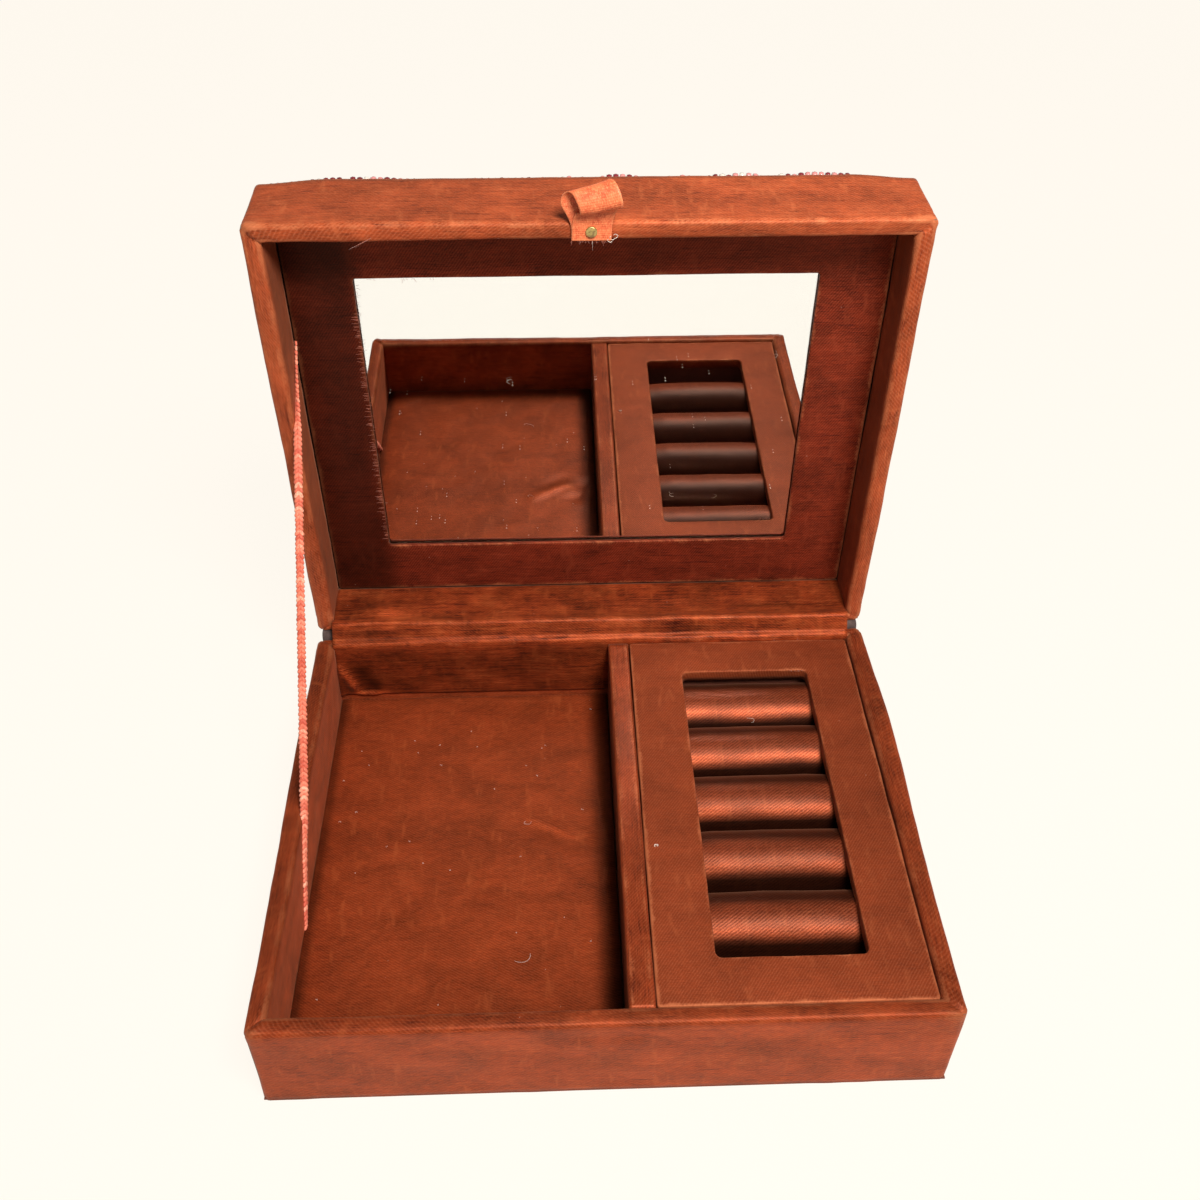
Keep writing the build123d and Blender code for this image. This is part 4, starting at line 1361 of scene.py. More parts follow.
class MakeRolls(bpy.types.Operator):
    """Sews and fills the five satin ring rolls"""

    bl_idname = "jewelry_box.make_rolls"
    bl_label = "Ring rolls"

    def execute(self, context):
        for number in range(1, 6):
            self.roll(number)
        return {"FINISHED"}

    def roll(self, number):
        node = f"ring_roll_{number}"
        low, high = node_box(node)
        radius = (high[1] - low[1]) / 2
        start_radius = radius - 0.12 * MM
        back, rise = ROLL_SHIFTS[number - 1]
        middle = (low + high) / 2 + (0, back * MM, 0)
        around = 48
        length = high[0] - low[0]
        stations = [(0.0, 0.02), (0.0, 0.35), (0.0, 0.7), (0.4 * MM, 0.9), (1.4 * MM, 0.985)]
        body_steps = 44
        stations += [(2.4 * MM + (length - 4.8 * MM) * k / body_steps, 1.0)
                     for k in range(body_steps + 1)]
        stations += [(length - s, r) for s, r in reversed(stations[:5])]
        angles = np.arange(around) * 2 * pi / around
        grid = np.zeros((len(stations), around, 3))
        for row, (along, share) in enumerate(stations):
            grid[row, :, 0] = low[0] + along
            grid[row, :, 1] = middle[1] + start_radius * share * np.cos(angles)
            grid[row, :, 2] = middle[2] + start_radius * share * np.sin(angles)
        grid = crumpled(grid, [(0.25 * MM, 14 * MM), (0.06 * MM, 4 * MM)], 40 + number)
        bulge = ramp(grid[..., 0], 25 * MM, 32 * MM) * ramp(grid[..., 0], 66 * MM, 58 * MM)
        grid[..., 2] += rise * MM * bulge * np.maximum(np.sin(angles), 0)[None, :]
        reach = 9.3 * MM
        grid[..., 1] = np.clip(grid[..., 1], middle[1] - reach, middle[1] + reach)
        # Painted light on each roll: a highlight band where its cloth turns towards the front, painted
        # shade below that into the valley and over the back of its top.
        tilt = np.degrees(np.arctan2(-np.cos(angles), np.sin(angles)))[None, :]
        tilt = tilt + 5 * smooth_noise(grid, 22 * MM, 55 + number)
        along = smooth_noise(grid, 9 * MM, 50 + number)
        shine = ROLL_PAINTED_HIGHLIGHTS[number - 1] + 0.3 * smooth_noise(grid, 16 * MM, 70 + number)
        painted_light = shine * hump(tilt, 40, 8) * (1 + 0.9 * along) - 0.47
        painted_light = painted_light - 0.52 * ramp(tilt, 43, 60) - 0.42 * ramp(tilt, 2, -18)
        roll = cloth_object(f"ring_roll_cover_{number}", grid, closed_v=True,
                            values={"painted_light": np.maximum(painted_light, -0.95)})
        ends_closed(roll)
        held = [v.index for v in roll.data.vertices
                if hypot(v.co.y - middle[1], v.co.z - middle[2]) < start_radius * 0.5]
        swollen(roll, 5.0, held, 16, 0.4 * MM)
        finer = roll.modifiers.new("finer", "SUBSURF")
        finer.levels = finer.render_levels = 1
        settle(painted(roll, "roll_satin"))
        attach(roll, "base")
        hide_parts(node, *(["ring_roll_wadding"] if number == 1 else []))


# Mirror


class MakeMirror(bpy.types.Operator):
    """Cuts the mirror: clear glass in front, silvering behind"""

    bl_idname = "jewelry_box.make_mirror"
    bl_label = "Mirror"

    def execute(self, context):
        low, high = node_box("mirror_glass", shut=True)
        mesh = bpy.data.meshes.new("mirror_slab")
        shape = bmesh.new()
        bmesh.ops.create_cube(shape, size=1.0)
        high[2] -= 0.06 * MM
        size, middle = high - low, (low + high) / 2
        for vert in shape.verts:
            vert.co = Vector(middle) + Vector([c * s for c, s in zip(vert.co, size)])
        sides = [e for e in shape.edges if abs((e.verts[0].co - e.verts[1].co).z) > 1e-6]
        bmesh.ops.bevel(shape, geom=sides, offset=0.6 * MM, segments=3, profile=0.5,
                        affect="EDGES")
        bmesh.ops.bevel(shape, geom=[e for e in shape.edges if len(e.link_faces) == 2
                                     and e.calc_face_angle() > 1.2],
                        offset=0.12 * MM, segments=1, profile=0.5, affect="EDGES")
        shape.to_mesh(mesh)
        shape.free()
        mirror = put_in_scene("mirror_slab", mesh)
        painted(mirror, "mirror_glass", "mirror_silver")
        for face in mesh.polygons:
            face.material_index = 1 if face.normal.z > 0.9 else 0
        opened(mirror)
        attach(mirror, "lid")
        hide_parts("mirror_glass")
        return {"FINISHED"}


# Cloth across the hinge


def swept_strip(path, xs):
    """A grid of points from a path of (y, z), repeated at each x."""
    path = np.array(path)
    grid = np.zeros((len(xs), len(path), 3))
    grid[..., 0] = xs[:, None]
    grid[..., 1] = path[None, :, 0]
    grid[..., 2] = path[None, :, 1]
    return grid


def smoothed_path(points, spacing):
    """A smooth line through points of (y, z) and any further values, evenly spaced."""
    points = np.array(points, float)
    dense = []
    padded = np.concatenate([[2 * points[0] - points[1]], points, [2 * points[-1] - points[-2]]])
    for k in range(1, len(padded) - 2):
        a, b, c, d = padded[k - 1:k + 3]
        for t in np.linspace(0, 1, 16, endpoint=False):
            dense.append(0.5 * (2 * b + (c - a) * t + (2 * a - 5 * b + 4 * c - d) * t**2
                                + (3 * b - a - 3 * c + d) * t**3))
    dense.append(points[-1])
    dense = np.array(dense)
    run = np.concatenate([[0], np.cumsum(np.linalg.norm(np.diff(dense[:, :2], axis=0), axis=1))])
    at = np.linspace(0, run[-1], max(2, round(run[-1] / spacing)))
    return np.stack([np.interp(at, run, column) for column in dense.T], 1), at


class MakeHingeCloths(bpy.types.Operator):
    """Lays the cloth hinge's inner and outer strips across the base and the lid"""

    bl_idname = "jewelry_box.make_hinge_cloths"
    bl_label = "Cloth hinge"

    def execute(self, context):
        self.inner()
        self.outer()
        return {"FINISHED"}

    def inner(self):
        low, high = node_box("hinge_cloth_inner")
        xs = np.linspace(low[0], high[0], 170)
        ledge = [(y, 34.66 + (y - 67.7) * 0.0262) for y in (70.0, 74.0, 79.0, 82.7)]
        path, at = smoothed_path([(62.5, 8.9), (62.5, 16), (62.5, 24), (62.35, 28.2), (62.6, 30.2),
                                  (63.8, 31.2), (64.7, 33.0), (66.0, 35.1), (67.6, 35.15)]
                                 + ledge, 0.45)
        grid = swept_strip(path * MM, xs)
        normals = normals_of(grid)
        x = xs[:, None] / MM
        run = at[None, :]
        all_x, all_run = x + 0 * run, run + 0 * x
        height = 8.9 + all_run
        lip = hump(run, 20.6, 1.3)
        edge_line = hump(run, 27.6, 1.4)
        waver, fine, sag = (
            smooth_noise(np.stack([all_x * wide, all_run * long, 0 * all_x], 2), size, seed)
            for wide, long, size, seed in ((1, 0.02, 15.0, 61), (1, 1, 3.4, 62), (0.5, 1, 7.0, 63)))
        free = np.clip((run - 4) / 8, 0, 1) * np.clip((run[0, -1] - 3 - run) / 8, 0, 1)
        lift = 0.45 * lip * (0.6 + waver) + 0.4 * edge_line * (0.7 + waver)
        lift = lift + free * (0.22 * sag + 0.1 * fine)
        for bump_place in HINGE_BUMPS:
            lift += spot(x, run, *bump_place)
        for fold in HINGE_FOLDS:
            lift += ridge(all_x, height, *fold)
        grid = grid + normals * (np.clip(lift + 0.1, -0.05, 1.5) * MM)[..., None]
        stain = sum(spot(x, run, *place) for place in HINGE_STAINS)
        corner = np.clip((-76.5 - x) / 2.0, 0, 1) * np.clip((14 - run) / 10, 0, 1)
        grid[..., 1] -= corner * 0.9 * MM
        wear = 0.5 * lip + 0.5 * edge_line
        # Painted light and shade: darker low on the strip and far along the ledge, lighter on its bulges,
        # painted highlights along the lip, the edge line, the folds and one spot, and painted shadows.
        painted_light = -0.05 - 0.3 * ramp(run, 20, 14) - 0.1 * ramp(run, 30, 34) + 0.16 * sag + 0.14 * fine
        painted_light = painted_light + 0.25 * lip * (1 + waver) + 0.2 * edge_line * (1 + waver)
        for fold in HINGE_FOLD_PAINTED_LIGHT:
            painted_light = painted_light + ridge(all_x, height, *fold)
        painted_light = painted_light + spot(x, run, 0.7, -61, 4.5, 32, 2.6)
        for place, length, share in HINGE_SHADOWS:
            painted_light = painted_light - 0.4 * np.exp(-(((x - place) / length) ** 2) - ((run - share) / 0.8) ** 2)
        cloth = cloth_object("inner_hinge_strip", grid,
                             values={"edge": wear, "stain": stain, "painted_light": painted_light})
        thickened(painted(cloth, "satin_hinge", "hinge_backing"), 0.28 * MM, lining=True)
        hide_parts("hinge_cloth_inner")
        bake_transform(cloth)

    def outer(self):
        low, high = node_box("hinge_cloth_outer")
        xs = np.linspace(low[0], high[0], 120)
        path, at = smoothed_path([(66.42, 18.4), (66.42, 24), (66.45, 28.2), (66.6, 29.7),
                                  (67.3, 30.6), (68.6, 30.72), (71, 30.8), (75, 30.9),
                                  (78.7, 30.98)], 0.5)
        grid = swept_strip(path * MM, xs)
        grid = crumpled(grid, [(0.06 * MM, 9 * MM), (0.04 * MM, 3 * MM)], 66)
        wear = hump(at, 11.5, 1.2)
        cloth = cloth_object("outer_hinge_strip", grid, flip=True,
                             values={"edge": wear[None, :] * 0.8})
        thickened(painted(cloth, "satin_hinge", "hinge_backing"), 0.25 * MM, lining=True)
        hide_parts("hinge_cloth_outer")
        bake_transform(cloth)


# Geometry Nodes for stitches and beads


def path_object(name, lines):
    """A mesh of edges from lines of points; each line is (points, closed)."""
    points, edges = [], []
    for line, closed in lines:
        first = len(points)
        points.extend(tuple(p) for p in line)
        last = len(points) - 1
        edges.extend((k, k + 1) for k in range(first, last))
        if closed:
            edges.append((last, first))
    mesh = bpy.data.meshes.new(name)
    mesh.from_pydata(points, edges, [])
    return put_in_scene(name, mesh)


def run_tree(obj, tree, values):
    """The object with a geometry tree run on it and made a plain mesh."""
    modifier = obj.modifiers.new(tree.name, "NODES")
    modifier.node_group = tree
    sockets = {s.name: s.identifier for s in tree.interface.items_tree if s.in_out == "INPUT"}
    for label, value in values.items():
        modifier[sockets[label]] = value
    return settle(obj)


def threaded_tree(name, sizes):
    """A tree with a point at each pitch along every path, its wiring, its ends and those points."""
    labels = [(label, "f") for label in sizes]
    tree, w, entry, leave = new_group(
        name, [("Geometry", "g"), *labels, ("Seed", "i"), ("Material", "m")], [("Geometry", "g")],
        "GeometryNodeTree")
    curve = w.node("GeometryNodeMeshToCurve", {"Mesh": entry["Geometry"]}).outputs[0]
    spots = w.node("GeometryNodeCurveToPoints", {"Curve": curve}, mode="LENGTH")
    w.feed(spots.inputs["Length"], entry["Pitch"])
    return tree, w, entry, leave, spots.outputs


def finish_tree(w, entry, leave, copies):
    """Gives each copy a tone of its own and makes all of them one smooth mesh in the tree's material."""
    tone = w.random(w.plus(entry["Seed"], 3.0), 0.0, 1.0)
    named = w.node("GeometryNodeStoreNamedAttribute", {"Geometry": copies, "Name": "tone"},
                   data_type="FLOAT", domain="INSTANCE")
    w.feed(named.inputs["Value"], tone)
    real = w.node("GeometryNodeRealizeInstances", {"Geometry": named.outputs[0]})
    soft = w.node("GeometryNodeSetShadeSmooth", {"Geometry": real.outputs[0]})
    colored = w.node("GeometryNodeSetMaterial", {"Geometry": soft.outputs[0],
                                                 "Material": entry["Material"]})
    w.feed(leave["Geometry"], colored.outputs[0])


def beads_tree():
    """Beads threaded along every path: torus beads, some turned, a few missing."""
    tree, w, entry, leave, spots = threaded_tree("threaded_beads", ("Pitch", "Size", "Missing"))
    ring = w.node("GeometryNodeCurvePrimitiveCircle", {"Resolution": 9})
    w.feed(ring.inputs["Radius"], w.times(entry["Size"], 0.3))
    tube = w.node("GeometryNodeCurvePrimitiveCircle", {"Resolution": 6})
    w.feed(tube.inputs["Radius"], w.times(entry["Size"], 0.2))
    bead = w.node("GeometryNodeCurveToMesh", {"Curve": ring.outputs[0],
                                              "Profile Curve": tube.outputs[0]}).outputs[0]
    longer = w.node("GeometryNodeTransform", {"Geometry": bead, "Scale": (1.0, 1.0, 1.9)})
    turn = w.node("FunctionNodeAlignRotationToVector", {"Vector": spots["Tangent"]}, axis="Z")
    jitter = w.random(entry["Seed"], (-0.16, -0.16, -3.0), (0.16, 0.16, 3.0), "FLOAT_VECTOR")
    rotated = w.node("FunctionNodeRotateRotation", {"Rotation": turn.outputs[0]},
                     rotation_space="LOCAL")
    w.feed(rotated.inputs[1], w.node("FunctionNodeEulerToRotation", {0: jitter}).outputs[0])
    grow = w.random(entry["Seed"], 0.9, 1.08)
    kept = w.node("FunctionNodeCompare", data_type="FLOAT", operation="GREATER_THAN")
    w.feed(kept.inputs[0], w.random(w.plus(entry["Seed"], 7.0), 0.0, 1.0))
    w.feed(kept.inputs[1], entry["Missing"])
    beads = w.node("GeometryNodeInstanceOnPoints", {
        "Points": spots["Points"], "Instance": longer.outputs[0], "Rotation": rotated.outputs[0],
        "Scale": grow, "Selection": kept.outputs[0]})
    finish_tree(w, entry, leave, beads.outputs[0])
    return tree


def stitches_tree():
    """Slanted stitches in two columns along a braid, like a chain of chevrons."""
    tree, w, entry, leave, spots = threaded_tree("braid_stitches", ("Pitch", "Width"))
    yarn = w.node("GeometryNodeMeshUVSphere", {"Segments": 8, "Rings": 6})
    w.feed(yarn.inputs["Radius"], w.times(entry["Pitch"], 0.5))
    pair = w.node("GeometryNodeJoinGeometry")
    for way in (-1, 1):
        sized = w.node("GeometryNodeTransform", {"Geometry": yarn.outputs[0],
                                                 "Scale": (0.86, 1.75, 0.62)})
        slanted = w.node("GeometryNodeTransform", {"Geometry": sized.outputs[0],
                                                   "Rotation": (0.12, way * 0.25, way * 0.62)})
        offset = w.join(w.times(entry["Width"], way * 0.27), 0.0, 0.0)
        put = w.node("GeometryNodeTransform", {"Geometry": slanted.outputs[0],
                                               "Translation": offset})
        w.feed(pair.inputs[0], put.outputs[0])
    turn = w.node("FunctionNodeAlignRotationToVector", {"Vector": spots["Tangent"]},
                  axis="Y", pivot_axis="X")
    grow = w.random(entry["Seed"], (0.92, 0.92, 0.85), (1.08, 1.1, 1.15), "FLOAT_VECTOR")
    stitches = w.node("GeometryNodeInstanceOnPoints", {
        "Points": spots["Points"], "Instance": pair.outputs[0], "Rotation": turn.outputs[0],
        "Scale": grow})
    finish_tree(w, entry, leave, stitches.outputs[0])
    return tree


# Stay braid


def braid_line(spacing):
    """The braid's middle line from its seam in the base to its seam in the lid, and its direction."""
    base, lid = np.array(BRAID_BASE) * MM, np.array(BRAID_LID) * MM
    length = np.linalg.norm(lid - base)
    count = round(length / spacing)
    line = [base + (lid - base) * k / count for k in range(count + 1)]
    return np.array(line), (lid - base) / length


class MakeStay(bpy.types.Operator):
    """Braids the stay that holds the lid open"""

    bl_idname = "jewelry_box.make_stay"
    bl_label = "Stay braid"

    def execute(self, context):
        look = finish()
        line, way = braid_line(1.0 * MM)
        count = len(line)
        around = 12
        grid = np.zeros((count, around, 3))
        out = np.cross(way, (1, 0, 0))
        share = np.linspace(0, 1, count)
        narrow = 1 - 0.25 * hump(share, 0, 0.03) - 0.25 * hump(1 - share, 0, 0.03)
        low = np.clip((0.28 - share) / 0.2, 0, 1)
        high = np.clip((share - 0.8) / 0.16, 0, 1)
        twist = radians(82) * (low**2 * (3 - 2 * low)) - radians(78) * (high**2 * (3 - 2 * high))
        for k in range(around):
            angle = 2 * pi * k / around
            flat = 0.9 * MM * cos(angle) * narrow
            thick = 0.22 * MM * sin(angle)
            across = flat * np.cos(twist) - thick * np.sin(twist)
            proud = flat * np.sin(twist) + thick * np.cos(twist)
            grid[:, k] = line + np.outer(across, (1, 0, 0)) + np.outer(proud, out)
        core = cloth_object("stay_braid_core", grid, closed_v=True)
        painted(ends_closed(core), "coral_braid")
        stitches = path_object("stay_braid_stitches", [(line, False)])
        run_tree(stitches, stitches_tree(), {
            "Pitch": look.stitch_pitch, "Width": 1.75 * MM, "Seed": 4,
            "Material": MATERIALS["coral_braid"]})
        self.taper(stitches, line, way, narrow, twist, out)
        braid = self.joined(stitches, core, "stay_braid")
        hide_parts("stay_tape")
        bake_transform(braid)
        return {"FINISHED"}

    def taper(self, obj, line, way, narrow, twist, out):
        """Narrows and turns the stitches where the braid goes into its seams."""
        points = np.array([v.co for v in obj.data.vertices])
        length = np.linalg.norm(line[-1] - line[0])
        along = (points - line[0]) @ way
        at = np.clip(along / length, 0, 1) * (len(line) - 1)
        thin = np.interp(at, np.arange(len(line)), narrow)
        turn = np.interp(at, np.arange(len(line)), twist)
        base = line[0] + np.outer(along, way)
        flat = (points - base)[:, 0] * thin
        thick = (points - base) @ out
        across = flat * np.cos(turn) - thick * np.sin(turn)
        proud = flat * np.sin(turn) + thick * np.cos(turn)
        points = base + np.outer(across, (1, 0, 0)) + np.outer(proud, out)
        obj.data.vertices.foreach_set("co", points.astype(np.float32).ravel())

    def joined(self, first, second, name):
        """Two objects as one, under a new name."""
        for obj in bpy.context.selected_objects:
            obj.select_set(False)
        first.select_set(True)
        second.select_set(True)
        bpy.context.view_layer.objects.active = first
        bpy.ops.object.join()
        first.name = first.data.name = name
        return first


# Pull tab


class MakeTab(bpy.types.Operator):
    """Folds the ribbon of the pull tab into its loop"""

    bl_idname = "jewelry_box.make_tab"
    bl_label = "Pull tab"

    def execute(self, context):
        path, at = smoothed_path(TAB_LINE, 0.09)
        share = at / at[-1]
        half = TAB_HALF_WIDTH
        across = np.linspace(-1, 1, 19)[None, :]
        y, z, aside, tilt = (column[:, None] for column in path.T)
        grid = np.zeros((len(at), 19, 3))
        edge = np.abs(across) ** 8
        grid[..., 0] = across * half * (0.96 + 0.05 * tilt) + aside
        grid[..., 1] = y - 0.26 * half * across * tilt - 0.25 * tilt * (across**2 - 0.3)
        grid[..., 2] = z - 0.12 * half * across * tilt * (30.6 - z) / 4
        rib = np.sin(at * 2 * pi / TAB_RIB_PITCH) * 0.5 + 0.5
        normals = normals_of(grid)
        rough = smooth_noise(grid, 1.7, 71)
        lift = 0.05 * rib[:, None] * (1 - 0.5 * edge) + 0.1 * rough * np.minimum(tilt, 1)
        grid = (grid + normals * lift[..., None]) * MM
        ends = hump(np.minimum(share, 1 - share), 0, 0.02)
        wear = np.maximum(edge, ends[:, None])
        tab = cloth_object("tab_ribbon", grid, values={"edge": wear, "rib": rib[:, None]})
        solid = tab.modifiers.new("thickness", "SOLIDIFY")
        solid.thickness = 0.32 * MM
        solid.offset = 0
        settle(tab)
        opened(painted(tab, "coral_ribbon"))
        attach(tab, "lid")
        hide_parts("pull_tab_ribbon")
        return {"FINISHED"}


# Beadwork


def slipped(x):
    """How far the front row has slipped over the edge at x, in millimetres."""
    return sum(depth * np.exp(-(((x - middle) / reach) ** 4))
               for middle, reach, depth in BORDER_SLIPS)


def circle_line(x, y, radius, count=24):
    """Points of a closed ring of beads."""
    return [(x + radius * cos(a), y + radius * sin(a)) for a in np.linspace(0, 2 * pi, count + 1)[:-1]]


def slot_line(x, y, angle, length, radius, count=10):
    """Points of a closed long ring: a petal of beads."""
    points = []
    for end, start in ((1, -pi / 2), (-1, pi / 2)):
        for step in range(count + 1):
            a = start + pi * step / count
            points.append((end * length / 2 + radius * cos(a), radius * sin(a)))
    turn = np.array([[cos(angle), -sin(angle)], [sin(angle), cos(angle)]])
    return [tuple(turn @ np.array(p) + (x, y)) for p in points]


class MakeBeadwork(bpy.types.Operator):
    """Sews the beads on the lid: borders, flowers, hearts, stems and leaves"""

    bl_idname = "jewelry_box.make_beadwork"
    bl_label = "Beadwork"

    def execute(self, context):
        tree = beads_tree()
        jobs = {
            "bead_border_outer": (self.border(1.4, True), "beads_mixed", 0.03, 1.0),
            "bead_border_inner": (self.border(6.0, False), "beads_white", 0.02, 1.0),
            "bead_flower_petals": (self.petals(), "beads_pink", 0.015, 1.0),
            "bead_flower_hearts": (self.hearts(), "beads_maroon", 0.0, 1.0),
            "bead_stems": (self.stems(), "beads_maroon", 0.01, 0.9),
            "bead_leaves": (self.leaves(), "beads_white", 0.01, 0.95),
        }
        look = finish()
        for number, (node, (lines, material, missing, size)) in enumerate(jobs.items()):
            middle = node_box(node, shut=True)[0][2] + 0.8 * MM
            lifted = [([(x * MM, y * MM, middle + face_rise(x * MM, y * MM)) for x, y in line], closed)
                      for line, closed in lines]
            beads = path_object(node.replace("bead_", "beads_"), lifted)
            run_tree(beads, tree, {"Pitch": look.bead_pitch * size, "Size": look.bead_size * size,
                                   "Missing": missing, "Seed": 11 + number,
                                   "Material": MATERIALS[material]})
            opened(beads)
            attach(beads, "lid")
            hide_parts(node)
        return {"FINISHED"}

    def border(self, inset, loose):
        outer = (-83 + inset, 83 - inset, -66 + inset, 66 - inset)
        loop = rounded_loop(outer, 1.6, 160, 130)
        if loose:
            front = loop[:, 1] < outer[2] + 0.4
            loop[:, 1] -= np.where(front, slipped(loop[:, 0]), 0.0)
        return [(loop, True)]

    def flower_places(self):
        places = [(-46, 0), (46, 0)]
        return places + [(sx * 66, sy * 49) for sx in (-1, 1) for sy in (-1, 1)]

    def petals(self):
        lines = []
        for x, y in self.flower_places():
            for petal in range(6):
                a = pi * petal / 3
                lines.append((circle_line(x + 4.4 * cos(a), y + 4.4 * sin(a), 1.1), True))
        for petal in range(8):
            a = pi * petal / 4
            lines.append((slot_line(8.9 * cos(a), 8.9 * sin(a), a, 3.7, 1.0), True))
        return lines

    def hearts(self):
        lines = [([(x - 0.5, y), (x + 0.5, y)], False) for x, y in self.flower_places()]
        return lines + [(circle_line(0, 0, 2.2), True), ([(-0.4, 0), (0.4, 0)], False)]

    def arches(self):
        """Middle of each arch of the two stems, and whether it goes towards the back or the front."""
        return [((number - 2) * 20, y, 1 if number % 2 else -1)
                for y in (-42, 42) for number in range(5)]

    def stems(self):
        radius = (10**2 + 5**2) / 10
        half = asin(8.4 / radius)
        return [([(x + radius * sin(a), y + way * (radius * cos(a) - radius + 5))
                  for a in np.linspace(-half, half, 20)], False)
                for x, y, way in self.arches()]

    def leaves(self):
        lines = [self.leaf(x, y + way * 8.1, 0) for x, y, way in self.arches()]
        for side in (-1, 1):
            for step in (-1, 0, 1):
                lines.append(self.leaf(side * (23 + abs(step)), step * 7, side * step * radians(32)))
        return lines

    def leaf(self, x, y, angle):
        along = (cos(angle) * 2.2, sin(angle) * 2.2)
        return [(x - along[0], y - along[1]), (x, y), (x + along[0], y + along[1])], False


# Loose threads


def fibre(points, radius, sides=4):
    """Vertices and faces of a thin thread through points, tapered at its ends."""
    points = np.array(points)
    count = len(points)
    tangents = np.gradient(points, axis=0)
    verts, faces = [], []
    for k, (point, tangent) in enumerate(zip(points, tangents)):
        direction = Vector(tangent).normalized()
        side = direction.cross(Vector((0.31, 0.17, 0.93))).normalized()
        up = direction.cross(side)
        thin = radius * (0.35 + 0.65 * sqrt(max(0.0, sin(pi * (k + 0.5) / count))))
        for s in range(sides):
            a = 2 * pi * s / sides
            verts.append(Vector(point) + (side * cos(a) + up * sin(a)) * thin)
    for k in range(count - 1):
        for s in range(sides):
            t = (s + 1) % sides
            faces.append((k * sides + s, k * sides + t, (k + 1) * sides + t, (k + 1) * sides + s))
    faces.append(tuple(range(sides))[::-1])
    faces.append(tuple((count - 1) * sides + s for s in range(sides)))
    return verts, faces


def fibres_object(name, threads):
    """One mesh of many threads; each is (points, radius)."""
    verts, faces = [], []
    for points, radius in threads:
        more, sides = fibre(points, radius)
        faces.extend(tuple(len(verts) + i for i in face) for face in sides)
        verts.extend(more)
    mesh = bpy.data.meshes.new(name)
    mesh.from_pydata([tuple(v) for v in verts], [], faces)
    shape = bmesh.new()
    shape.from_mesh(mesh)
    bmesh.ops.recalc_face_normals(shape, faces=shape.faces)
    shape.to_mesh(mesh)
    shape.free()
    return put_in_scene(name, smoothed(mesh))


class MakeThreads(bpy.types.Operator):
    """Frays the cut edges and drops a little lint in the tray"""

    bl_idname = "jewelry_box.make_threads"
    bl_label = "Frayed threads and lint"

    def execute(self, context):
        self.random = np.random.default_rng(12)
        base = []
        base += self.fringe((11.6, 62.1, 28.7), (77.8, 62.1, 28.7), (0, 0.4, 0.5), 90)
        base += self.fringe((58.0, 48.9, 28.5), (63.6, 48.8, 28.5), (0.2, -0.4, 0.5), 12)
        self.bundle("base_frayed_threads", base, "satin_thread", "base")
        lid = self.fringe((-60.7, -34, 46.1), (-60.9, 44, 46.1), (-1.5, 0.0, 0.02), 130, 0.12)
        lid += self.fringe((-60.7, -41, 46.2), (-60.9, 44, 46.2), (0.5, 0.0, -0.2), 30)
        lid += self.fringe((-58, -43.8, 46.3), (-40, -43.8, 46.3), (0.1, 0.6, -0.3), 10)
        lid += self.fringe((-52.2, -62.9, 30.5), (-52.8, -62.6, 30.5), (-4.2, 2.4, 0.3), 9, 0.3)
        lid += self.fringe((-4.7, -61.9, 30.3), (4.7, -61.9, 30.3), (0.0, 0.9, 0.1), 40)
        self.bundle("lid_frayed_threads", lid, "satin_thread", "lid")
        lint = [self.curl((-22, -34, 8.5), 3.6, 0.05), self.curl((-20, 10, 8.6), 1.3, 0.04),
                self.curl((45, 31.6, 25.4), 2.0, 0.04), self.curl((14.6, -15, 28.9), 0.6, 0.16)]
        for _ in range(30):
            spot = (self.random.uniform(-75, 2), self.random.uniform(-58, 58), 8.3)
            lint.append(self.curl(spot, self.random.uniform(0.12, 0.4), 0.05))
        dust = [self.curl((4.6 + 0.5 * k, -61.8 - 0.6 * k, 30.1), 0.9, 0.09) for k in range(3)]
        at_nail = [(0.2, -61.7, 30.0), (0.3, -60.4, 30.3), (0.25, -59, 30.6)]
        dust.append((np.array(at_nail) * MM, 0.04 * MM))
        for _ in range(46):
            spot = (self.random.uniform(-56, 56), self.random.uniform(-20, 42), 47.22)
            size = self.random.choice([0.1, 0.16, 0.22, 1.3], p=[0.4, 0.3, 0.16, 0.14])
            dust.append(self.curl(spot, size, 0.045))
        self.bundle("mirror_dust", dust, "lint", "lid")
        self.bundle("tray_lint", lint, "lint", "base")
        return {"FINISHED"}

    def bundle(self, name, threads, finish_name, body):
        """One piece of many threads, riding on its body."""
        piece = painted(fibres_object(name, threads), finish_name)
        if body == "lid":
            opened(piece)
        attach(piece, body)

    def fringe(self, start, end, way, count, loose=0.25):
        """Short thread ends along a line, all leaning one way."""
        start, end, way = np.array(start), np.array(end), np.array(way)
        threads = []
        for _ in range(count):
            root = start + (end - start) * self.random.uniform()
            tip = root + (way + self.random.normal(0, loose, 3)) * self.random.uniform(0.4, 1.3)
            bend = (root + tip) / 2 + self.random.normal(0, loose / 2, 3)
            points = [root, root * 0.25 + bend * 0.5 + tip * 0.25, tip]
            threads.append((np.array(points) * MM, 0.05 * MM))
        return threads

    def curl(self, middle, size, radius):
        """A loose curl of lint lying on the cloth."""
        phase, turns = self.random.uniform(0, 6), self.random.uniform(0.35, 0.9)
        points = []
        for t in np.linspace(0, 1, 16):
            a = phase + turns * 2 * pi * t
            r = size * (0.4 + 0.6 * t)
            points.append((middle[0] + r * cos(a), middle[1] + r * sin(a) * 0.7,
                           middle[2] + 0.15 * sin(3 * a)))
        return np.array(points) * MM, radius * MM


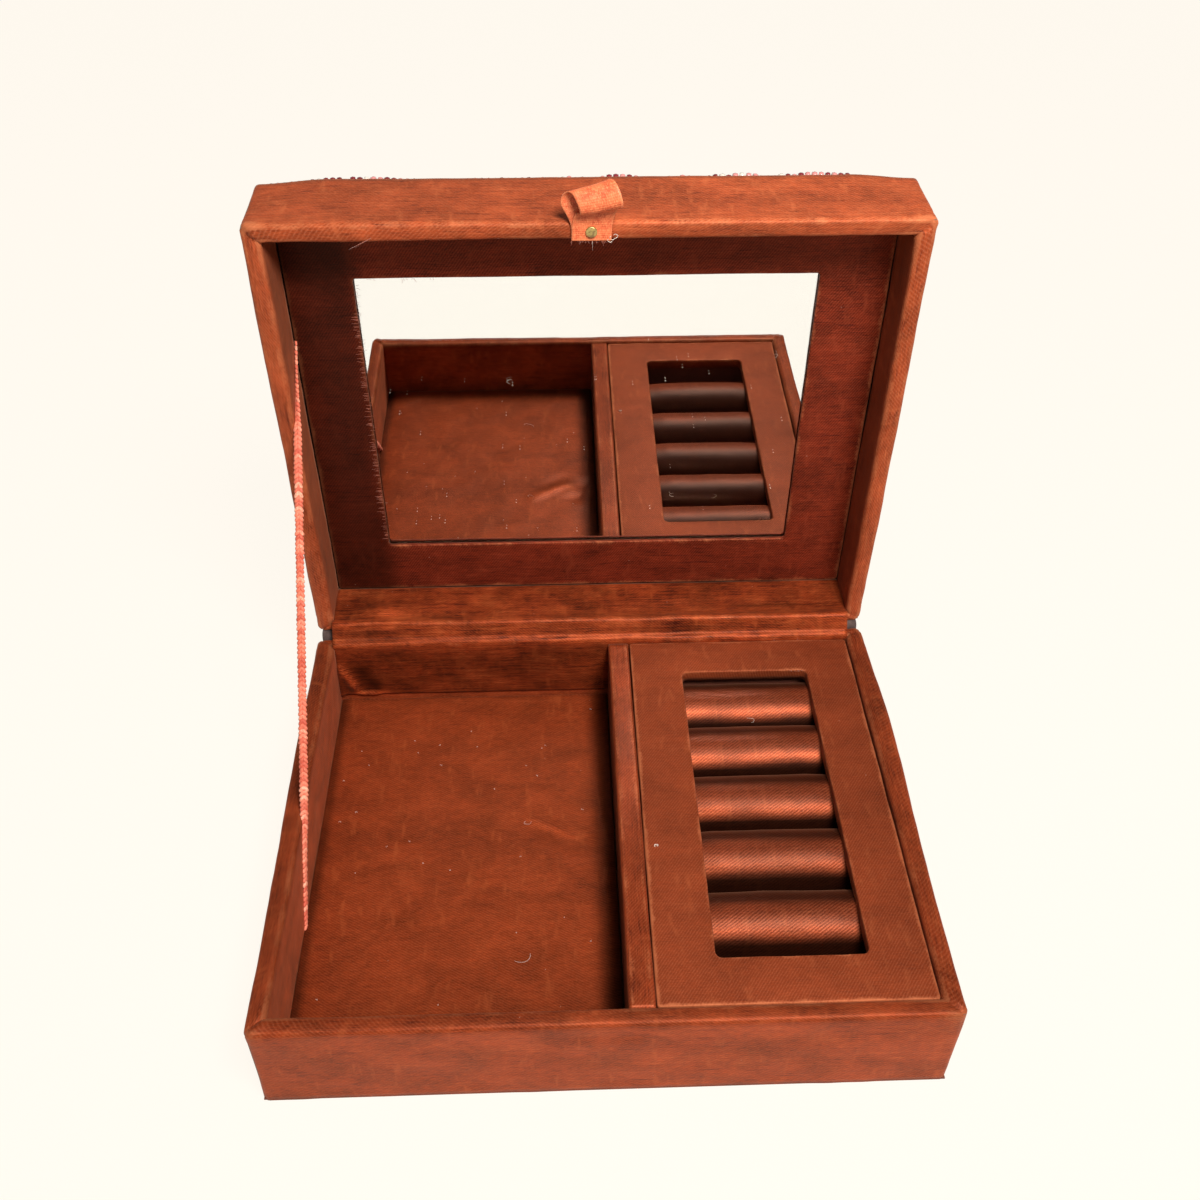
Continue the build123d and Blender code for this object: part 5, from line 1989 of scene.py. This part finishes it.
# Boards, card, paper and nail


class FinishBoards(bpy.types.Operator):
    """Gives the boards, cards, wadding, paper and nail their finishes"""

    bl_idname = "jewelry_box.finish_boards"
    bl_label = "Boards, cards and nail"

    def execute(self, context):
        for name, obj in NODES.items():
            painted(obj, self.finish_of(name))
        smoothed(NODES["pull_tab_nail"].data)
        return {"FINISHED"}

    def finish_of(self, name):
        if name == "base_underside_paper":
            return "paper"
        if name == "pull_tab_nail":
            return "nail_brass"
        if "wadding" in name:
            return "wadding"
        # The ring bed and spacers take the dark paper as painted shade beside the rolls.
        if name.startswith(("ring_bed", "ring_spacer")):
            return "paper"
        return "card_board"


# Panel and run


class JewelryBoxPanel(bpy.types.Panel):
    """Lists the steps that build the jewelry box"""

    bl_idname = "VIEW3D_PT_jewelry_box"
    bl_label = "Jewelry Box"
    bl_space_type = "VIEW_3D"
    bl_region_type = "UI"
    bl_category = "Jewelry Box"

    def draw(self, context):
        for group in (context.scene.jewelry_box_finish, context.scene.jewelry_box_stage):
            for name in group.__annotations__:
                self.layout.prop(group, name)
        for step in STEPS:
            self.layout.operator(step.bl_idname)


STEPS = (MakeStage, MakeSleeves, MakePads, MakePanels, MakeRolls, MakeMirror, MakeHingeCloths,
         MakeStay, MakeTab, MakeBeadwork, MakeThreads, FinishBoards)
CLASSES = (JewelryBoxFinish, JewelryBoxStage, *STEPS, JewelryBoxPanel)


def register():
    for cls in CLASSES:
        bpy.utils.register_class(cls)
    bpy.types.Scene.jewelry_box_finish = bpy.props.PointerProperty(type=JewelryBoxFinish)
    bpy.types.Scene.jewelry_box_stage = bpy.props.PointerProperty(type=JewelryBoxStage)


def unregister():
    del bpy.types.Scene.jewelry_box_stage
    del bpy.types.Scene.jewelry_box_finish
    for cls in reversed(CLASSES):
        bpy.utils.unregister_class(cls)


def main():
    """Builds the whole box."""
    register()
    make_materials()
    for step in STEPS:
        area, name = step.bl_idname.split(".")
        getattr(getattr(bpy.ops, area), name)()


if __name__ == "__main__":
    main()
